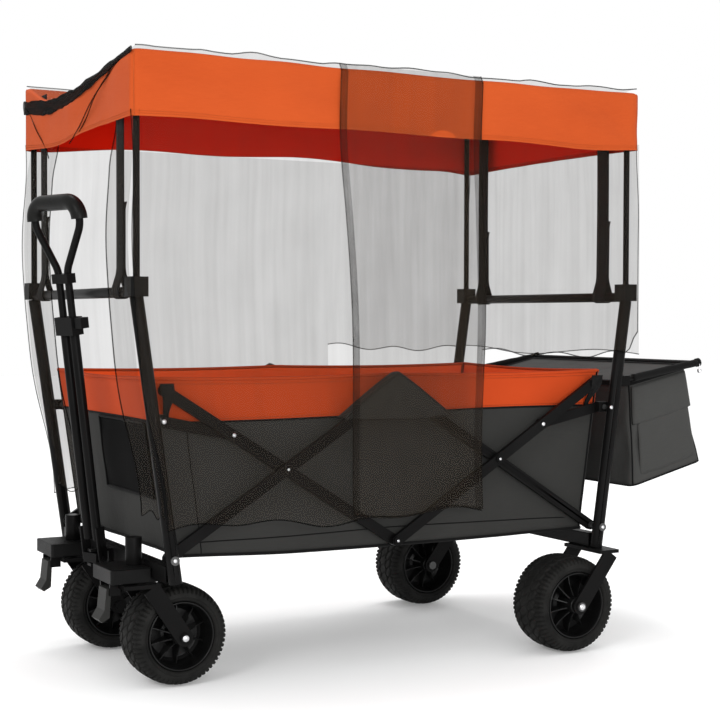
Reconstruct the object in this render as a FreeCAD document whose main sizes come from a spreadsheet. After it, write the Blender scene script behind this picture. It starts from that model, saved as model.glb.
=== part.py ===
import FreeCAD, Part

import math
import os

from FreeCAD import Placement, Rotation, Vector

# Folding pull wagon with a canopy, a net and a rear storage bag. Millimetres.
# +X points to the rear, +Z up, and the handle is at -X. "Left" and "right" are the wagon's own,
# so left is -Y. The floor that the wheels stand on is z = 0.

DIMENSIONS = {
    # frame posts, leaning outwards towards their tops
    "frame_shift": -56.7,
    "post_diameter": 24.0,
    "post_wall": 1.5,
    "post_track": 604.0,
    "post_bottom": 204.0,
    "post_top": 704.0,
    "post_top_reach": 527.2,
    # fold linkage
    "pivot_reach": 462.0,
    "pivot_height": 246.0,
    "arm_rise": 146.0,
    "arm_height": 20.0,
    "arm_thickness": 9.0,
    "arm_wall": 1.5,
    "arm_gap": 1.0,
    "arm_outer_face": 286.5,
    "brace_tip": 4.5,
    "link_thickness": 5.0,
    "link_pin_reach": 482.0,
    "link_pin_height": 488.4,
    "link_offset": 122.6,
    "rivet_diameter": 8.0,
    "lug_rivet_head": 10.0,
    "rivet_head": 16.0,
    "running_gap": 0.05,
    # bars, beams and corner sockets
    "bar_diameter": 19.0,
    "bar_height": 712.0,
    "beam_width": 24.0,
    "beam_depth": 28.0,
    "socket_size": 32.0,
    "socket_length": 34.0,
    "pole_diameter": 12.0,
    "pole_top": 1118.0,
    # wheels
    "front_wheel_diameter": 184.0,
    "rear_wheel_diameter": 192.0,
    "wheel_width": 102.0,
    "rim_diameter": 116.0,
    "hub_diameter": 34.0,
    "hub_length": 98.0,
    "axle_diameter": 10.0,
    "rear_axle_reach": 386.0,
    "rear_track": 570.0,
    "caster_reach": 487.0,
    "caster_track": 350.0,
    "caster_trail": 75.0,
    "fork_width": 32.0,
    "fork_thickness": 5.0,
    "fork_gap": 112.0,
    "crown_thickness": 7.0,
    "stem_diameter": 30.0,
    "kingpin_diameter": 12.0,
    # handle
    "handle_reach": 500.0,
    "handle_height": 212.0,
    "handle_lean": 7.8,
    "handle_yaw": 20.0,
    "tube_spacing": 27.0,
    "outer_tube_diameter": 18.0,
    "inner_tube_diameter": 14.0,
    "grip_diameter": 30.0,
    # soft goods
    "cover_length": 1076.0,
    "cover_width": 644.0,
    "cover_top": 1128.0,
    "cover_bottom": 1010.0,
    "cloth_thickness": 2.0,
    "tub_width": 516.0,
    "tub_floor": 252.0,
    "tub_rim": 562.0,
    "tub_wall": 4.0,
    "bag_width": 560.0,
    "bag_wall": 4.0,
    "bag_arm_diameter": 10.0,
}

doc = FreeCAD.newDocument("pull_wagon")
sheet = doc.addObject("Spreadsheet::Sheet", "dims")
for row, (alias, number) in enumerate(DIMENSIONS.items(), start=1):
    sheet.set(f"A{row}", alias)
    sheet.set(f"B{row}", str(number))
    sheet.setAlias(f"B{row}", alias)
doc.recompute()

SHIFT = Placement(Vector(sheet.frame_shift, 0, 0), Rotation())
POST_Y = sheet.post_track / 2
POST_SLOPE = (sheet.post_top_reach - sheet.pivot_reach) / (sheet.post_top - sheet.pivot_height)
SIDES = {"left": -1, "right": 1}
ENDS = {"front": -1, "rear": 1}
subparts = []


# ---- building blocks -----------------------------------------------------------------------


def bind(obj, **sizes):
    """Each size is an expression over the sheet, or a plain number."""
    for prop, size in sizes.items():
        if isinstance(size, str):
            obj.setExpression(prop, size)
        else:
            setattr(obj, prop, size)
    return obj


def keep(label, obj):
    """Name a finished sub-part and move it into the wagon's own frame."""
    obj.Label = label
    obj.Placement = SHIFT.multiply(obj.Placement)
    subparts.append(obj)
    return obj


def rod(start, end, diameter):
    """Round bar from start to end."""
    start, end = Vector(*start), Vector(*end)
    obj = doc.addObject("Part::Cylinder", "Rod")
    bind(obj, Radius=f"({diameter}) / 2", Height=(end - start).Length)
    obj.Placement = Placement(start, Rotation(Vector(0, 0, 1), end - start))
    return obj


def tube(start, end, diameter, wall):
    """Round tube from start to end."""
    return cut(rod(start, end, diameter), rod(start, end, f"{diameter} - 2 * {wall}"))


def box(low, high):
    """Block between two corners."""
    obj = doc.addObject("Part::Box", "Block")
    bind(obj, Length=high[0] - low[0], Width=high[1] - low[1], Height=high[2] - low[2])
    obj.Placement.Base = Vector(*low)
    return obj


def cut(base, *tools):
    obj = doc.addObject("Part::Cut", "Cut")
    obj.Base = base
    obj.Tool = tools[0] if len(tools) == 1 else fuse(*tools)
    return obj


def fuse(*pieces):
    obj = doc.addObject("Part::MultiFuse", "Fuse")
    obj.Shapes = list(pieces)
    return obj


def group(*pieces):
    """Separate solids that share one sub-part."""
    obj = doc.addObject("Part::Compound", "Group")
    obj.Links = list(pieces)
    return obj


def placed(obj, placement):
    obj.Placement = placement.multiply(obj.Placement)
    return obj


def plate(outline, thickness, y_middle):
    """PartDesign plate: an outline in the XZ plane, padded evenly about y_middle."""
    body = doc.addObject("PartDesign::Body", "Plate")
    sketch = sketch_on(body, "XZ_Plane", outline)
    pad = body.newObject("PartDesign::Pad", "Pad")
    pad.Profile = sketch
    pad.Midplane = True
    bind(pad, Length=thickness)
    body.Placement.Base = Vector(0, y_middle, 0)
    return body


def sketch_on(body, role, outline):
    """Closed outline of straight edges on one of the body's own origin planes."""
    plane = next(f for f in body.Origin.OriginFeatures if f.Role == role)
    sketch = body.newObject("Sketcher::SketchObject", "Outline")
    sketch.AttachmentSupport = [(plane, "")]
    sketch.MapMode = "FlatFace"
    corners = [Vector(a, b, 0) for a, b in outline]
    for start, end in zip(corners, corners[1:] + corners[:1]):
        sketch.addGeometry(Part.LineSegment(start, end), False)
    return sketch


def both_sides(make):
    """The same piece built for the left and the right."""
    return [make(side) for side in SIDES.values()]


def pin_y(x, z, y_from, y_to, diameter="dims.rivet_diameter"):
    """Pin across the wagon at (x, z)."""
    return rod((x, y_from, z), (x, y_to, z), diameter)


# ---- fold linkage --------------------------------------------------------------------------

HALF_REACH = sheet.pivot_reach / 2
RISER_ANGLE = math.degrees(math.atan2(sheet.arm_rise, HALF_REACH))
HALF_ARM = math.hypot(HALF_REACH, sheet.arm_rise)
MIDDLE_TOP = sheet.pivot_height + 2 * sheet.arm_rise
CROSS_HEIGHT = sheet.pivot_height + sheet.arm_rise
OUTER_FACE = sheet.arm_outer_face
INNER_FACE = OUTER_FACE - sheet.arm_thickness - sheet.arm_gap
LINK_FACE = INNER_FACE - sheet.arm_thickness - sheet.arm_gap
LINK_PIN_X = HALF_REACH + sheet.link_offset * math.cos(math.radians(RISER_ANGLE))
LINK_PIN_Z = CROSS_HEIGHT + sheet.link_offset * math.sin(math.radians(RISER_ANGLE))
HOLE = "dims.rivet_diameter + 2 * dims.running_gap"
HEAD_DEPTH = 3.0


def arm(start, angle, length, holes, outer_face, side):
    """Flat-sided tube in the XZ plane, with rounded ends past its end pivots and a hole at each pivot."""
    half = sheet.arm_height / 2
    centre_y = side * (outer_face - sheet.arm_thickness / 2)
    body = doc.addObject("Part::Box", "Bar")
    bind(body, Length=length, Width="dims.arm_thickness", Height="dims.arm_height")
    body.Placement.Base = Vector(0, -sheet.arm_thickness / 2, -half)
    core = doc.addObject("Part::Box", "Core")
    bind(core, Length=length + 2 * half, Width="dims.arm_thickness - 2 * dims.arm_wall",
         Height="dims.arm_height - 2 * dims.arm_wall")
    core.Placement.Base = Vector(-half, -sheet.arm_thickness / 2 + sheet.arm_wall, -half + sheet.arm_wall)
    reach = sheet.arm_thickness / 2
    ends = [rod((x, -reach, 0), (x, reach, 0), "dims.arm_height") for x in (0, length)]
    drills = [rod((x, -reach, 0), (x, reach, 0), HOLE) for x in holes]
    bar = cut(fuse(body, *ends), core, *drills)
    turn = Rotation(Vector(0, 1, 0), -angle)
    return placed(bar, Placement(Vector(start[0], centre_y, start[1]), turn))


def rivet(x, z, side, y_outer, y_inner, head="dims.rivet_head"):
    """Rivet across a joint, with a low head at both ends."""
    shank = pin_y(x, z, side * y_outer, side * y_inner)
    outer_head = pin_y(x, z, side * y_outer, side * (y_outer + HEAD_DEPTH), head)
    inner_head = pin_y(x, z, side * y_inner, side * (y_inner - HEAD_DEPTH / 2), head)
    return fuse(shank, outer_head, inner_head)


BRACE_LENGTH = 2 * HALF_ARM + sheet.brace_tip
PAIR_DEPTH = OUTER_FACE - (INNER_FACE - sheet.arm_thickness)

for name, side in SIDES.items():
    cross_front = rivet(-HALF_REACH, CROSS_HEIGHT, side, OUTER_FACE, OUTER_FACE - PAIR_DEPTH)
    middle_top = rivet(0, MIDDLE_TOP, side, OUTER_FACE, OUTER_FACE - PAIR_DEPTH)
    riser = arm((-sheet.pivot_reach, sheet.pivot_height), RISER_ANGLE, 2 * HALF_ARM,
                (0, HALF_ARM, 2 * HALF_ARM), OUTER_FACE, side)
    keep(f"front_riser_{name}", group(riser, cross_front, middle_top))

    brace = arm((0, sheet.pivot_height), 180 - RISER_ANGLE, BRACE_LENGTH, (0, HALF_ARM), INNER_FACE, side)
    keep(f"front_brace_{name}", brace)

    riser = arm((0, MIDDLE_TOP), -RISER_ANGLE, 2 * HALF_ARM, (0, HALF_ARM, 2 * HALF_ARM), INNER_FACE, side)
    keep(f"rear_riser_{name}", riser)

    middle_bottom = rivet(0, sheet.pivot_height, side, OUTER_FACE, OUTER_FACE - PAIR_DEPTH)
    cross_rear = rivet(HALF_REACH, CROSS_HEIGHT, side, OUTER_FACE, OUTER_FACE - PAIR_DEPTH)
    brace = arm((0, sheet.pivot_height), RISER_ANGLE, BRACE_LENGTH, (0, HALF_ARM), OUTER_FACE, side)
    keep(f"rear_brace_{name}", group(brace, middle_bottom, cross_rear))


def swing_link(end, side):
    """Short flat link between the post bracket and the brace, with round ends."""
    face = LINK_FACE if end < 0 else INNER_FACE
    x_pin, z_pin = sheet.link_pin_reach, sheet.link_pin_height
    length = math.hypot(x_pin - LINK_PIN_X, z_pin - LINK_PIN_Z)
    angle = math.degrees(math.atan2(LINK_PIN_Z - z_pin, end * (LINK_PIN_X - x_pin)))
    bar = doc.addObject("Part::Box", "Link")
    bind(bar, Length=length, Width="dims.link_thickness", Height="dims.arm_height")
    half = sheet.link_thickness / 2
    bar.Placement.Base = Vector(0, -half, -sheet.arm_height / 2)
    ends = [rod((x, -half, 0), (x, half, 0), "dims.arm_height") for x in (0, length)]
    link = cut(fuse(bar, *ends), rod((0, -half, 0), (0, half, 0), HOLE))
    base = Vector(end * x_pin, side * (face - half), z_pin)
    return placed(link, Placement(base, Rotation(Vector(0, 1, 0), -angle)))


for name, end in ENDS.items():
    keep(f"{name}_links", group(*both_sides(lambda side, end=end: swing_link(end, side))))


# ---- front and rear frames -----------------------------------------------------------------


def post_x(z):
    """Distance of a post's centre line from the wagon's middle at height z."""
    return sheet.pivot_reach + (z - sheet.pivot_height) * POST_SLOPE


def post(end, side):
    bottom = (end * post_x(sheet.post_bottom), side * POST_Y, sheet.post_bottom)
    top = (end * post_x(sheet.post_top), side * POST_Y, sheet.post_top)
    body = tube(bottom, top, "dims.post_diameter", "dims.post_wall")
    reach = sheet.post_diameter / 2 + 1
    near_y, far_y = side * (POST_Y - reach), side * (POST_Y + reach)
    drill = pin_y(end * sheet.pivot_reach, sheet.pivot_height, near_y, far_y)
    return cut(body, drill)


BAR_END = POST_Y - sheet.socket_size / 2


def post_core(end, side, low_z, high_z):
    """Filled stretch of a post, to cut its seat from what it meets."""
    bottom = (end * post_x(low_z), side * POST_Y, low_z)
    return rod(bottom, (end * post_x(high_z), side * POST_Y, high_z), "dims.post_diameter")


def corner_socket(end, side):
    """Plastic cap on a post: it takes the canopy pole from above and the top bar from inside."""
    x, half = end * post_x(sheet.post_top), sheet.socket_size / 2
    low = (x - half, side * POST_Y - half, sheet.post_top)
    high = (x + half, side * POST_Y + half, sheet.post_top + sheet.socket_length)
    cap = box(low, high)
    y = side * POST_Y
    bore = rod((x, y, sheet.post_top + 6), (x, y, high[2]), "dims.pole_diameter + 0.2")
    return cut(cap, bore, post_core(end, side, sheet.post_top - 30, sheet.post_top))


def canopy_pole(end, side):
    x = end * post_x(sheet.post_top)
    start = (x, side * POST_Y, sheet.post_top + 6)
    return tube(start, (x, side * POST_Y, sheet.pole_top), "dims.pole_diameter", 1.0)


def strap(end, side):
    """Webbing that holds the canopy down to the top bar."""
    x, y, half = end * post_x(sheet.post_top), side * STRAP_Y, STRAP_WIDTH / 2
    low = (x - 1, y - half, sheet.bar_height + sheet.bar_diameter / 2 + 0.5)
    return box(low, (x + 1, y + half, sheet.cover_top - sheet.cloth_thickness - 1))


STRAP_Y, STRAP_WIDTH = 225.0, 38.0
BRACKET_HALF = 12.0
BEAM_TOP = sheet.post_bottom + sheet.beam_depth


LUG_END = POST_Y - sheet.post_diameter / 2 + 1.5


def link_bracket(end, side):
    """Lug on the post that carries the swing link's pivot."""
    x, z = end * sheet.link_pin_reach, sheet.link_pin_height
    face = (LINK_FACE if end < 0 else INNER_FACE) + 0.3
    low = (x - BRACKET_HALF, min(side * face, side * LUG_END), z - 10)
    high = (x + BRACKET_HALF, max(side * face, side * LUG_END), z + 10)
    return cut(box(low, high), post_core(end, side, z - 30, z + 30), pin_y(x, z, low[1], high[1]))


def frame_rivets(end, side):
    """Rivets through the post at the lower pivot and through the link bracket."""
    inner = OUTER_FACE - sheet.arm_thickness if end < 0 else INNER_FACE - sheet.arm_thickness
    shank_end = POST_Y + sheet.post_diameter / 2
    lower = rivet(end * sheet.pivot_reach, sheet.pivot_height, side, shank_end, inner)
    face = LINK_FACE if end < 0 else INNER_FACE
    bracket = rivet(end * sheet.link_pin_reach, sheet.link_pin_height, side, LUG_END,
                    face - sheet.link_thickness, "dims.lug_rivet_head")
    pieces = [lower, bracket]
    if end > 0:
        pieces[0] = fuse(lower, pin_y(end * sheet.pivot_reach, sheet.pivot_height, side * (POST_Y - 12),
                                      side * (INNER_FACE + 0.5), "14"))
    return pieces


for name, end in ENDS.items():
    keep(f"{name}_posts", group(*both_sides(lambda side, end=end: post(end, side))))
    x_bar = end * post_x(sheet.post_top)
    bar_ends = [(x_bar, y, sheet.bar_height) for y in (-BAR_END, BAR_END)]
    bar = tube(*bar_ends, "dims.bar_diameter", 1.5)
    keep(f"{name}_top_bar", bar)
    keep(f"{name}_corner_sockets", group(*both_sides(lambda side, end=end: corner_socket(end, side))))
    keep(f"{name}_canopy_poles", group(*both_sides(lambda side, end=end: canopy_pole(end, side))))
    keep(f"{name}_canopy_straps", group(*both_sides(lambda side, end=end: strap(end, side))))
    rivets = [piece for side in SIDES.values() for piece in frame_rivets(end, side)]
    keep(f"{name}_frame_rivets", group(*rivets))


def lower_beam(end):
    """Square tube between the feet of the two posts."""
    x = end * post_x(sheet.post_bottom + sheet.beam_depth / 2)
    y = POST_Y - sheet.post_diameter / 2
    half, wall = sheet.beam_width / 2, sheet.post_wall
    outer = box((x - half, -y, sheet.post_bottom), (x + half, y, BEAM_TOP))
    core = box((x - half + wall, -y, sheet.post_bottom + wall), (x + half - wall, y, BEAM_TOP - wall))
    return cut(outer, core)


FRONT_BEAM_X = -post_x(sheet.post_bottom + sheet.beam_depth / 2)
FRONT_BEAM_FACE = FRONT_BEAM_X - sheet.beam_width / 2
HOUSING_BOTTOM, HOUSING_TOP, STEM_TOP = 196.0, 222.0, 272.0
CASTER_Y = sheet.caster_track / 2
CASTER_X = -sheet.caster_reach


def stem(side):
    """Upright tube that the caster's kingpin turns in."""
    y = side * CASTER_Y
    upright = rod((CASTER_X, y, HOUSING_TOP), (CASTER_X, y, STEM_TOP), "dims.stem_diameter")
    gusset = box((CASTER_X + 10, y - 10, HOUSING_TOP), (FRONT_BEAM_FACE + 1, y + 10, BEAM_TOP))
    return upright, gusset


def stem_bore(side):
    return rod((CASTER_X, side * CASTER_Y, HOUSING_TOP), (CASTER_X, side * CASTER_Y, STEM_TOP - 3),
               "dims.stem_diameter - 4")


stems = [piece for side in SIDES.values() for piece in stem(side)]


def handle_mount():
    """Bracket on the front beam: two lugs and the upright swivel pin between them."""
    x = -sheet.handle_reach
    lugs = [box((x - 12, -10, low), (FRONT_BEAM_FACE + 1, 10, low + 5)) for low in (196, 223)]
    web = box((FRONT_BEAM_FACE - 6, -10, 196), (FRONT_BEAM_FACE + 1, 10, 228))
    return fuse(*lugs, web, rod((x, 0, 196), (x, 0, 228), "8"))


lower_frame = cut(fuse(lower_beam(-1), *stems, handle_mount()), *both_sides(stem_bore))
keep("front_lower_frame", lower_frame)
keep("front_link_brackets", group(*both_sides(lambda side: link_bracket(-1, side))))


def caster_housing(side):
    """Moulded housing round the kingpin, stepped to clear the beam behind it."""
    y, half = side * CASTER_Y, 52.0
    block = box((CASTER_X - 60, y - half, HOUSING_BOTTOM), (FRONT_BEAM_FACE - 1, y + half, HOUSING_TOP))
    foot = box((FRONT_BEAM_FACE - 1, y - half, HOUSING_BOTTOM),
               (CASTER_X + 50, y + half, sheet.post_bottom - 0.5))
    bore = rod((CASTER_X, y, HOUSING_BOTTOM), (CASTER_X, y, HOUSING_TOP), "dims.kingpin_diameter + 0.1")
    return cut(fuse(block, foot), bore)


keep("caster_housings", group(*both_sides(caster_housing)))

# ---- rear wheel forks and bag pivots -------------------------------------------------------

CROWN_TOP = sheet.post_bottom
REAR_FORK_X = post_x(sheet.post_bottom)
FRONT_AXLE_Z = sheet.front_wheel_diameter / 2
REAR_AXLE_Z = sheet.rear_wheel_diameter / 2


def fork_leg(x_top, z_top, axle, y_face):
    """Flat leg from the crown to the axle, with a round foot."""
    x_axle, z_axle = axle
    length = math.hypot(x_top - x_axle, z_top - z_axle)
    angle = math.degrees(math.atan2(z_top - z_axle, x_top - x_axle))
    half = sheet.fork_width / 2
    bar = doc.addObject("Part::Box", "Leg")
    bind(bar, Length=length, Width="dims.fork_thickness", Height="dims.fork_width")
    bar.Placement.Base = Vector(0, 0, -half)
    foot = rod((0, 0, 0), (0, sheet.fork_thickness, 0), "dims.fork_width")
    leg = fuse(bar, foot)
    return placed(leg, Placement(Vector(x_axle, y_face, z_axle), Rotation(Vector(0, 1, 0), -angle)))


def axle_bolt(x, z, y, bolt_end):
    """Bolt through both fork legs and the hub, with a head and a nut."""
    shank = pin_y(x, z, y - bolt_end, y + bolt_end, "dims.axle_diameter")
    head = pin_y(x, z, y - bolt_end, y - sheet.fork_gap / 2 - sheet.fork_thickness, "18")
    nut = pin_y(x, z, y + sheet.fork_gap / 2 + sheet.fork_thickness, y + bolt_end, "18")
    return fuse(shank, head, nut)


BOLT_END = 66.0


def fork(x_top, axle, y, crown_top, crown_low_x, crown_high_x):
    """U-shaped bracket: a flat crown and two legs, drilled for the axle."""
    outer = sheet.fork_gap / 2 + sheet.fork_thickness
    crown_bottom = crown_top - sheet.crown_thickness
    crown = box((crown_low_x, y - outer, crown_bottom), (crown_high_x, y + outer, crown_top))
    near = fork_leg(x_top, crown_bottom, axle, y - outer)
    far = fork_leg(x_top, crown_bottom, axle, y + outer - sheet.fork_thickness)
    trim = box((x_top - 200, y - outer - 1, crown_top), (x_top + 200, y + outer + 1, crown_top + 60))
    drill = pin_y(*axle, y - outer - 1, y + outer + 1, "dims.axle_diameter")
    return cut(fuse(crown, near, far), trim, drill)


def rear_fork(side):
    y = side * sheet.rear_track / 2
    axle = (sheet.rear_axle_reach, REAR_AXLE_Z)
    legs = fork(REAR_FORK_X + 6, axle, y, CROWN_TOP, REAR_FORK_X - 22, REAR_FORK_X + 24)
    return cut(legs, post_core(1, side, sheet.post_bottom, sheet.post_bottom + 30))


keep("rear_wheel_forks", group(*both_sides(rear_fork)))
keep("rear_axle_bolts", group(*both_sides(
    lambda side: axle_bolt(sheet.rear_axle_reach, REAR_AXLE_Z, side * sheet.rear_track / 2, BOLT_END))))
keep("rear_lower_beam", lower_beam(1))

BAG_PIVOT = (528.0, 542.0)
BAG_LUG_Y = POST_Y + 1


def bag_lug(side):
    """Lug on the rear post that the bag's frame hinges on."""
    x, z = BAG_PIVOT
    low_y, high_y = sorted((side * BAG_LUG_Y, side * (BAG_LUG_Y + 5)))
    plate_block = box((x - 20, low_y, z - 10), (x + 8, high_y, z + 10))
    return cut(plate_block, post_core(1, side, z - 30, z + 30), pin_y(x, z, low_y, high_y, "5.1"))


keep("rear_brackets", group(*both_sides(lambda side: link_bracket(1, side)), *both_sides(bag_lug)))

# ---- wheels --------------------------------------------------------------------------------

RIB_COUNT = 10
RIB_REACH = 18.0
WEB_HALF = 3.0


def tyre(x, y, outer):
    """Wide tyre with rounded shoulders, turned about the axle."""
    body = doc.addObject("PartDesign::Body", "Tyre")
    rim = sheet.rim_diameter / 2
    half = sheet.wheel_width / 2
    profile = [(rim, -half + 4), (rim + 4, -half), (outer - 16, -half), (outer - 5, -half + 8),
               (outer, -half + 20), (outer, half - 20), (outer - 5, half - 8), (outer - 16, half),
               (rim + 4, half), (rim, half - 4)]
    sketch = sketch_on(body, "XY_Plane", profile)
    turned = body.newObject("PartDesign::Revolution", "Turned")
    turned.Profile = sketch
    turned.ReferenceAxis = (sketch, ["V_Axis"])
    turned.Angle = 360
    body.Placement.Base = Vector(x, y, outer)
    return body


def hub(x, y, z):
    """Moulded hub inside the tyre: a middle web, a barrel for the axle and radial ribs on both faces."""
    half_hub = sheet.hub_length / 2
    web = rod((0, -WEB_HALF, 0), (0, WEB_HALF, 0), "dims.rim_diameter")
    barrel = rod((0, -half_hub, 0), (0, half_hub, 0), "dims.hub_diameter")
    rib_start, rib_end = sheet.axle_diameter, sheet.rim_diameter / 2 - 0.1
    ribs = []
    for index in range(RIB_COUNT):
        rib = box((rib_start, -RIB_REACH, -1.5), (rib_end, RIB_REACH, 1.5))
        turn = Rotation(Vector(0, 1, 0), 360 * index / RIB_COUNT)
        ribs.append(placed(rib, Placement(Vector(0, 0, 0), turn)))
    bore = rod((0, -half_hub, 0), (0, half_hub, 0), "dims.axle_diameter + 2 * dims.running_gap")
    wheel = cut(fuse(web, barrel, *ribs), bore)
    return placed(wheel, Placement(Vector(x, y, z), Rotation()))


FRONT_AXLE_X = CASTER_X + sheet.caster_trail
for name, side in SIDES.items():
    for end_name, x, track, z in (("front", FRONT_AXLE_X, sheet.caster_track, FRONT_AXLE_Z),
                                  ("rear", sheet.rear_axle_reach, sheet.rear_track, REAR_AXLE_Z)):
        keep(f"{end_name}_tyre_{name}", tyre(x, side * track / 2, z))
        keep(f"{end_name}_hub_{name}", hub(x, side * track / 2, z))

# ---- casters -------------------------------------------------------------------------------

CASTER_CROWN_TOP = 193.0
PEDAL_PIVOT = (CASTER_X - 46, 181.0)


def caster_fork(side):
    """Swivelling fork with its kingpin, axle bolt and the two ears that hold the brake pedal."""
    y = side * CASTER_Y
    axle = (FRONT_AXLE_X, FRONT_AXLE_Z)
    bracket = fork(CASTER_X + 12, axle, y, CASTER_CROWN_TOP, CASTER_X - 38, CASTER_X + 30)
    kingpin = rod((CASTER_X, y, CASTER_CROWN_TOP - 3), (CASTER_X, y, STEM_TOP - 20), "dims.kingpin_diameter")
    ears = [box((PEDAL_PIVOT[0] - 8, y + offset, PEDAL_PIVOT[1] - 8),
                (CASTER_X - 34, y + offset + 4, CASTER_CROWN_TOP)) for offset in (-27, 23)]
    pin = pin_y(*PEDAL_PIVOT, y - 27, y + 27, "5")
    return group(fuse(bracket, kingpin, pin, *ears), axle_bolt(*axle, y, BOLT_END))


def brake_pedal(side):
    """Foot pedal on a cross pin, with a flared toe."""
    y = side * CASTER_Y
    x, z = PEDAL_PIVOT
    outline = [(x - 5, z + 6), (x - 12, z + 4), (x - 16, z - 34), (x - 26, z - 50), (x - 20, z - 56),
               (x - 6, z - 48), (x - 4, z - 8)]
    arm_plate = plate(outline, 42.0, y)
    barrel = pin_y(x, z, y - 21, y + 21, "12")
    return cut(fuse(arm_plate, barrel), pin_y(x, z, y - 22, y + 22, "5.1"))


for name, side in SIDES.items():
    keep(f"caster_fork_{name}", caster_fork(side))
    keep(f"brake_pedal_{name}", brake_pedal(side))

# ---- handle --------------------------------------------------------------------------------
# Built upright on its own axes (lateral along Y, up its length along Z, pivot at the origin),
# then leaned forwards about the tilt pin and turned about the vertical swivel pin.

LEAN = Placement(Vector(), Rotation(Vector(0, 1, 0), -sheet.handle_lean))
YAW = Placement(Vector(-sheet.handle_reach, 0, sheet.handle_height),
                Rotation(Vector(0, 0, 1), sheet.handle_yaw))
HANDLE = YAW.multiply(LEAN)
TUBE_Y = sheet.tube_spacing / 2
TUBE_FOOT, TUBE_TOP = 35.0, 440.0
COLLAR_LOW, COLLAR_HIGH = 427.0, 461.0
NECK, LOOP_SHOULDER, LOOP_TOP, LOOP_HALF = 548.0, 630.0, 674.0, 66.0
INNER_FOOT = 200.0
CHEEK_Y = 21.5


def handle_yoke():
    """Block that turns on the swivel pin and carries the tilt pin's two ends."""
    block = box((-13, -19, -9), (13, 19, 9))
    trunnions = rod((0, -28, 0), (0, 28, 0), "8")
    return cut(fuse(block, trunnions), rod((0, 0, -9), (0, 0, 9), "8.1"))


def handle_outer_tubes():
    """Two side plates on the tilt pin and the two outer tubes."""
    solids, bores = [], []
    for side in SIDES.values():
        low, high = sorted((side * CHEEK_Y, side * (CHEEK_Y + 4)))
        solids.append(box((-10, low, 0), (10, high, 60)))
        solids.append(rod((0, low, 0), (0, high, 0), "20"))
        bores.append(rod((0, low, 0), (0, high, 0), "8.1"))
        y = side * TUBE_Y
        solids.append(rod((0, y, TUBE_FOOT), (0, y, TUBE_TOP), "dims.outer_tube_diameter"))
        bores.append(rod((0, y, TUBE_FOOT), (0, y, TUBE_TOP),
                         "dims.inner_tube_diameter + 2 * dims.running_gap"))
    return cut(fuse(*solids), *bores)


def handle_collar():
    """Lock collar on top of the outer tubes."""
    block = box((-13, -25, COLLAR_LOW), (13, 25, COLLAR_HIGH))
    seats = [rod((0, s * TUBE_Y, COLLAR_LOW), (0, s * TUBE_Y, TUBE_TOP), "dims.outer_tube_diameter")
             for s in SIDES.values()]
    guides = [rod((0, s * TUBE_Y, TUBE_TOP), (0, s * TUBE_Y, COLLAR_HIGH),
                  "dims.inner_tube_diameter + 2 * dims.running_gap") for s in SIDES.values()]
    return cut(block, *seats, *guides, rod((0, -25, KNOB_W), (0, -21, KNOB_W), "8.1"))


KNOB_W = 450.0


def handle_lock_knob():
    """Push knob on the collar's left side."""
    head = box((-9, -48, KNOB_W - 10), (9, -30, KNOB_W + 10))
    return fuse(head, rod((0, -30, KNOB_W), (0, -25.5, KNOB_W), "8"))


def rounded_wire(points, radii):
    """Straight runs joined by tangent arcs, in the handle's YZ plane."""
    corners = [Vector(0, y, z) for y, z in points]
    edges, start = [], corners[0]
    for before, corner, after, radius in zip(corners, corners[1:], corners[2:], radii):
        back, ahead = (before - corner).normalize(), (after - corner).normalize()
        half_turn = (math.pi - back.getAngle(ahead)) / 2
        reach = radius * math.tan(half_turn)
        bisector = (back + ahead).normalize()
        middle = corner + bisector * (radius / math.cos(half_turn) - radius)
        edges.append(Part.LineSegment(start, corner + back * reach).toShape())
        edges.append(Part.Arc(corner + back * reach, middle, corner + ahead * reach).toShape())
        start = corner + ahead * reach
    edges.append(Part.LineSegment(start, corners[-1]).toShape())
    return Part.Wire(edges)


def pipe(wire, diameter):
    """Round bar swept along a wire."""
    start = wire.Edges[0].valueAt(wire.Edges[0].FirstParameter)
    ahead = wire.Edges[0].tangentAt(wire.Edges[0].FirstParameter)
    ring = Part.Wire([Part.makeCircle(diameter / 2, start, ahead)])
    return wire.makePipeShell([ring], True, True)


def feature(name, shape):
    obj = doc.addObject("Part::Feature", name)
    obj.Shape = shape
    return obj


LOOP_OUTLINE = [(TUBE_Y, INNER_FOOT), (TUBE_Y, NECK), (LOOP_HALF, LOOP_SHOULDER), (LOOP_HALF, LOOP_TOP),
                (-LOOP_HALF, LOOP_TOP), (-LOOP_HALF, LOOP_SHOULDER), (-TUBE_Y, NECK), (-TUBE_Y, INNER_FOOT)]
LOOP_RADII = [40, 40, 30, 30, 40, 40]
GRIP_END = 642.0


def handle_loop():
    """The two inner tubes, bent outwards and joined over the top, with the spacer at the neck."""
    spacer = Part.makeBox(20, 46, 18, Vector(-10, -23, 524))
    return pipe(rounded_wire(LOOP_OUTLINE, LOOP_RADII), sheet.inner_tube_diameter).fuse(spacer)


def handle_grip():
    """Moulded grip over the top of the loop."""
    outline = [(LOOP_HALF, GRIP_END), (LOOP_HALF, LOOP_TOP), (-LOOP_HALF, LOOP_TOP), (-LOOP_HALF, GRIP_END)]
    sleeve = pipe(rounded_wire(outline, [30, 30]), sheet.grip_diameter)
    bore = pipe(rounded_wire(LOOP_OUTLINE, LOOP_RADII), sheet.inner_tube_diameter + 0.1)
    return sleeve.cut(bore)


keep("handle_yoke", placed(handle_yoke(), YAW))
keep("handle_outer_tubes", placed(handle_outer_tubes(), HANDLE))
keep("handle_collar", placed(handle_collar(), HANDLE))
keep("handle_lock_knob", placed(handle_lock_knob(), HANDLE))
keep("handle_loop", placed(feature("Loop", handle_loop()), HANDLE))
keep("handle_grip", placed(feature("Grip", handle_grip()), HANDLE))

# ---- soft goods ----------------------------------------------------------------------------

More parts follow.
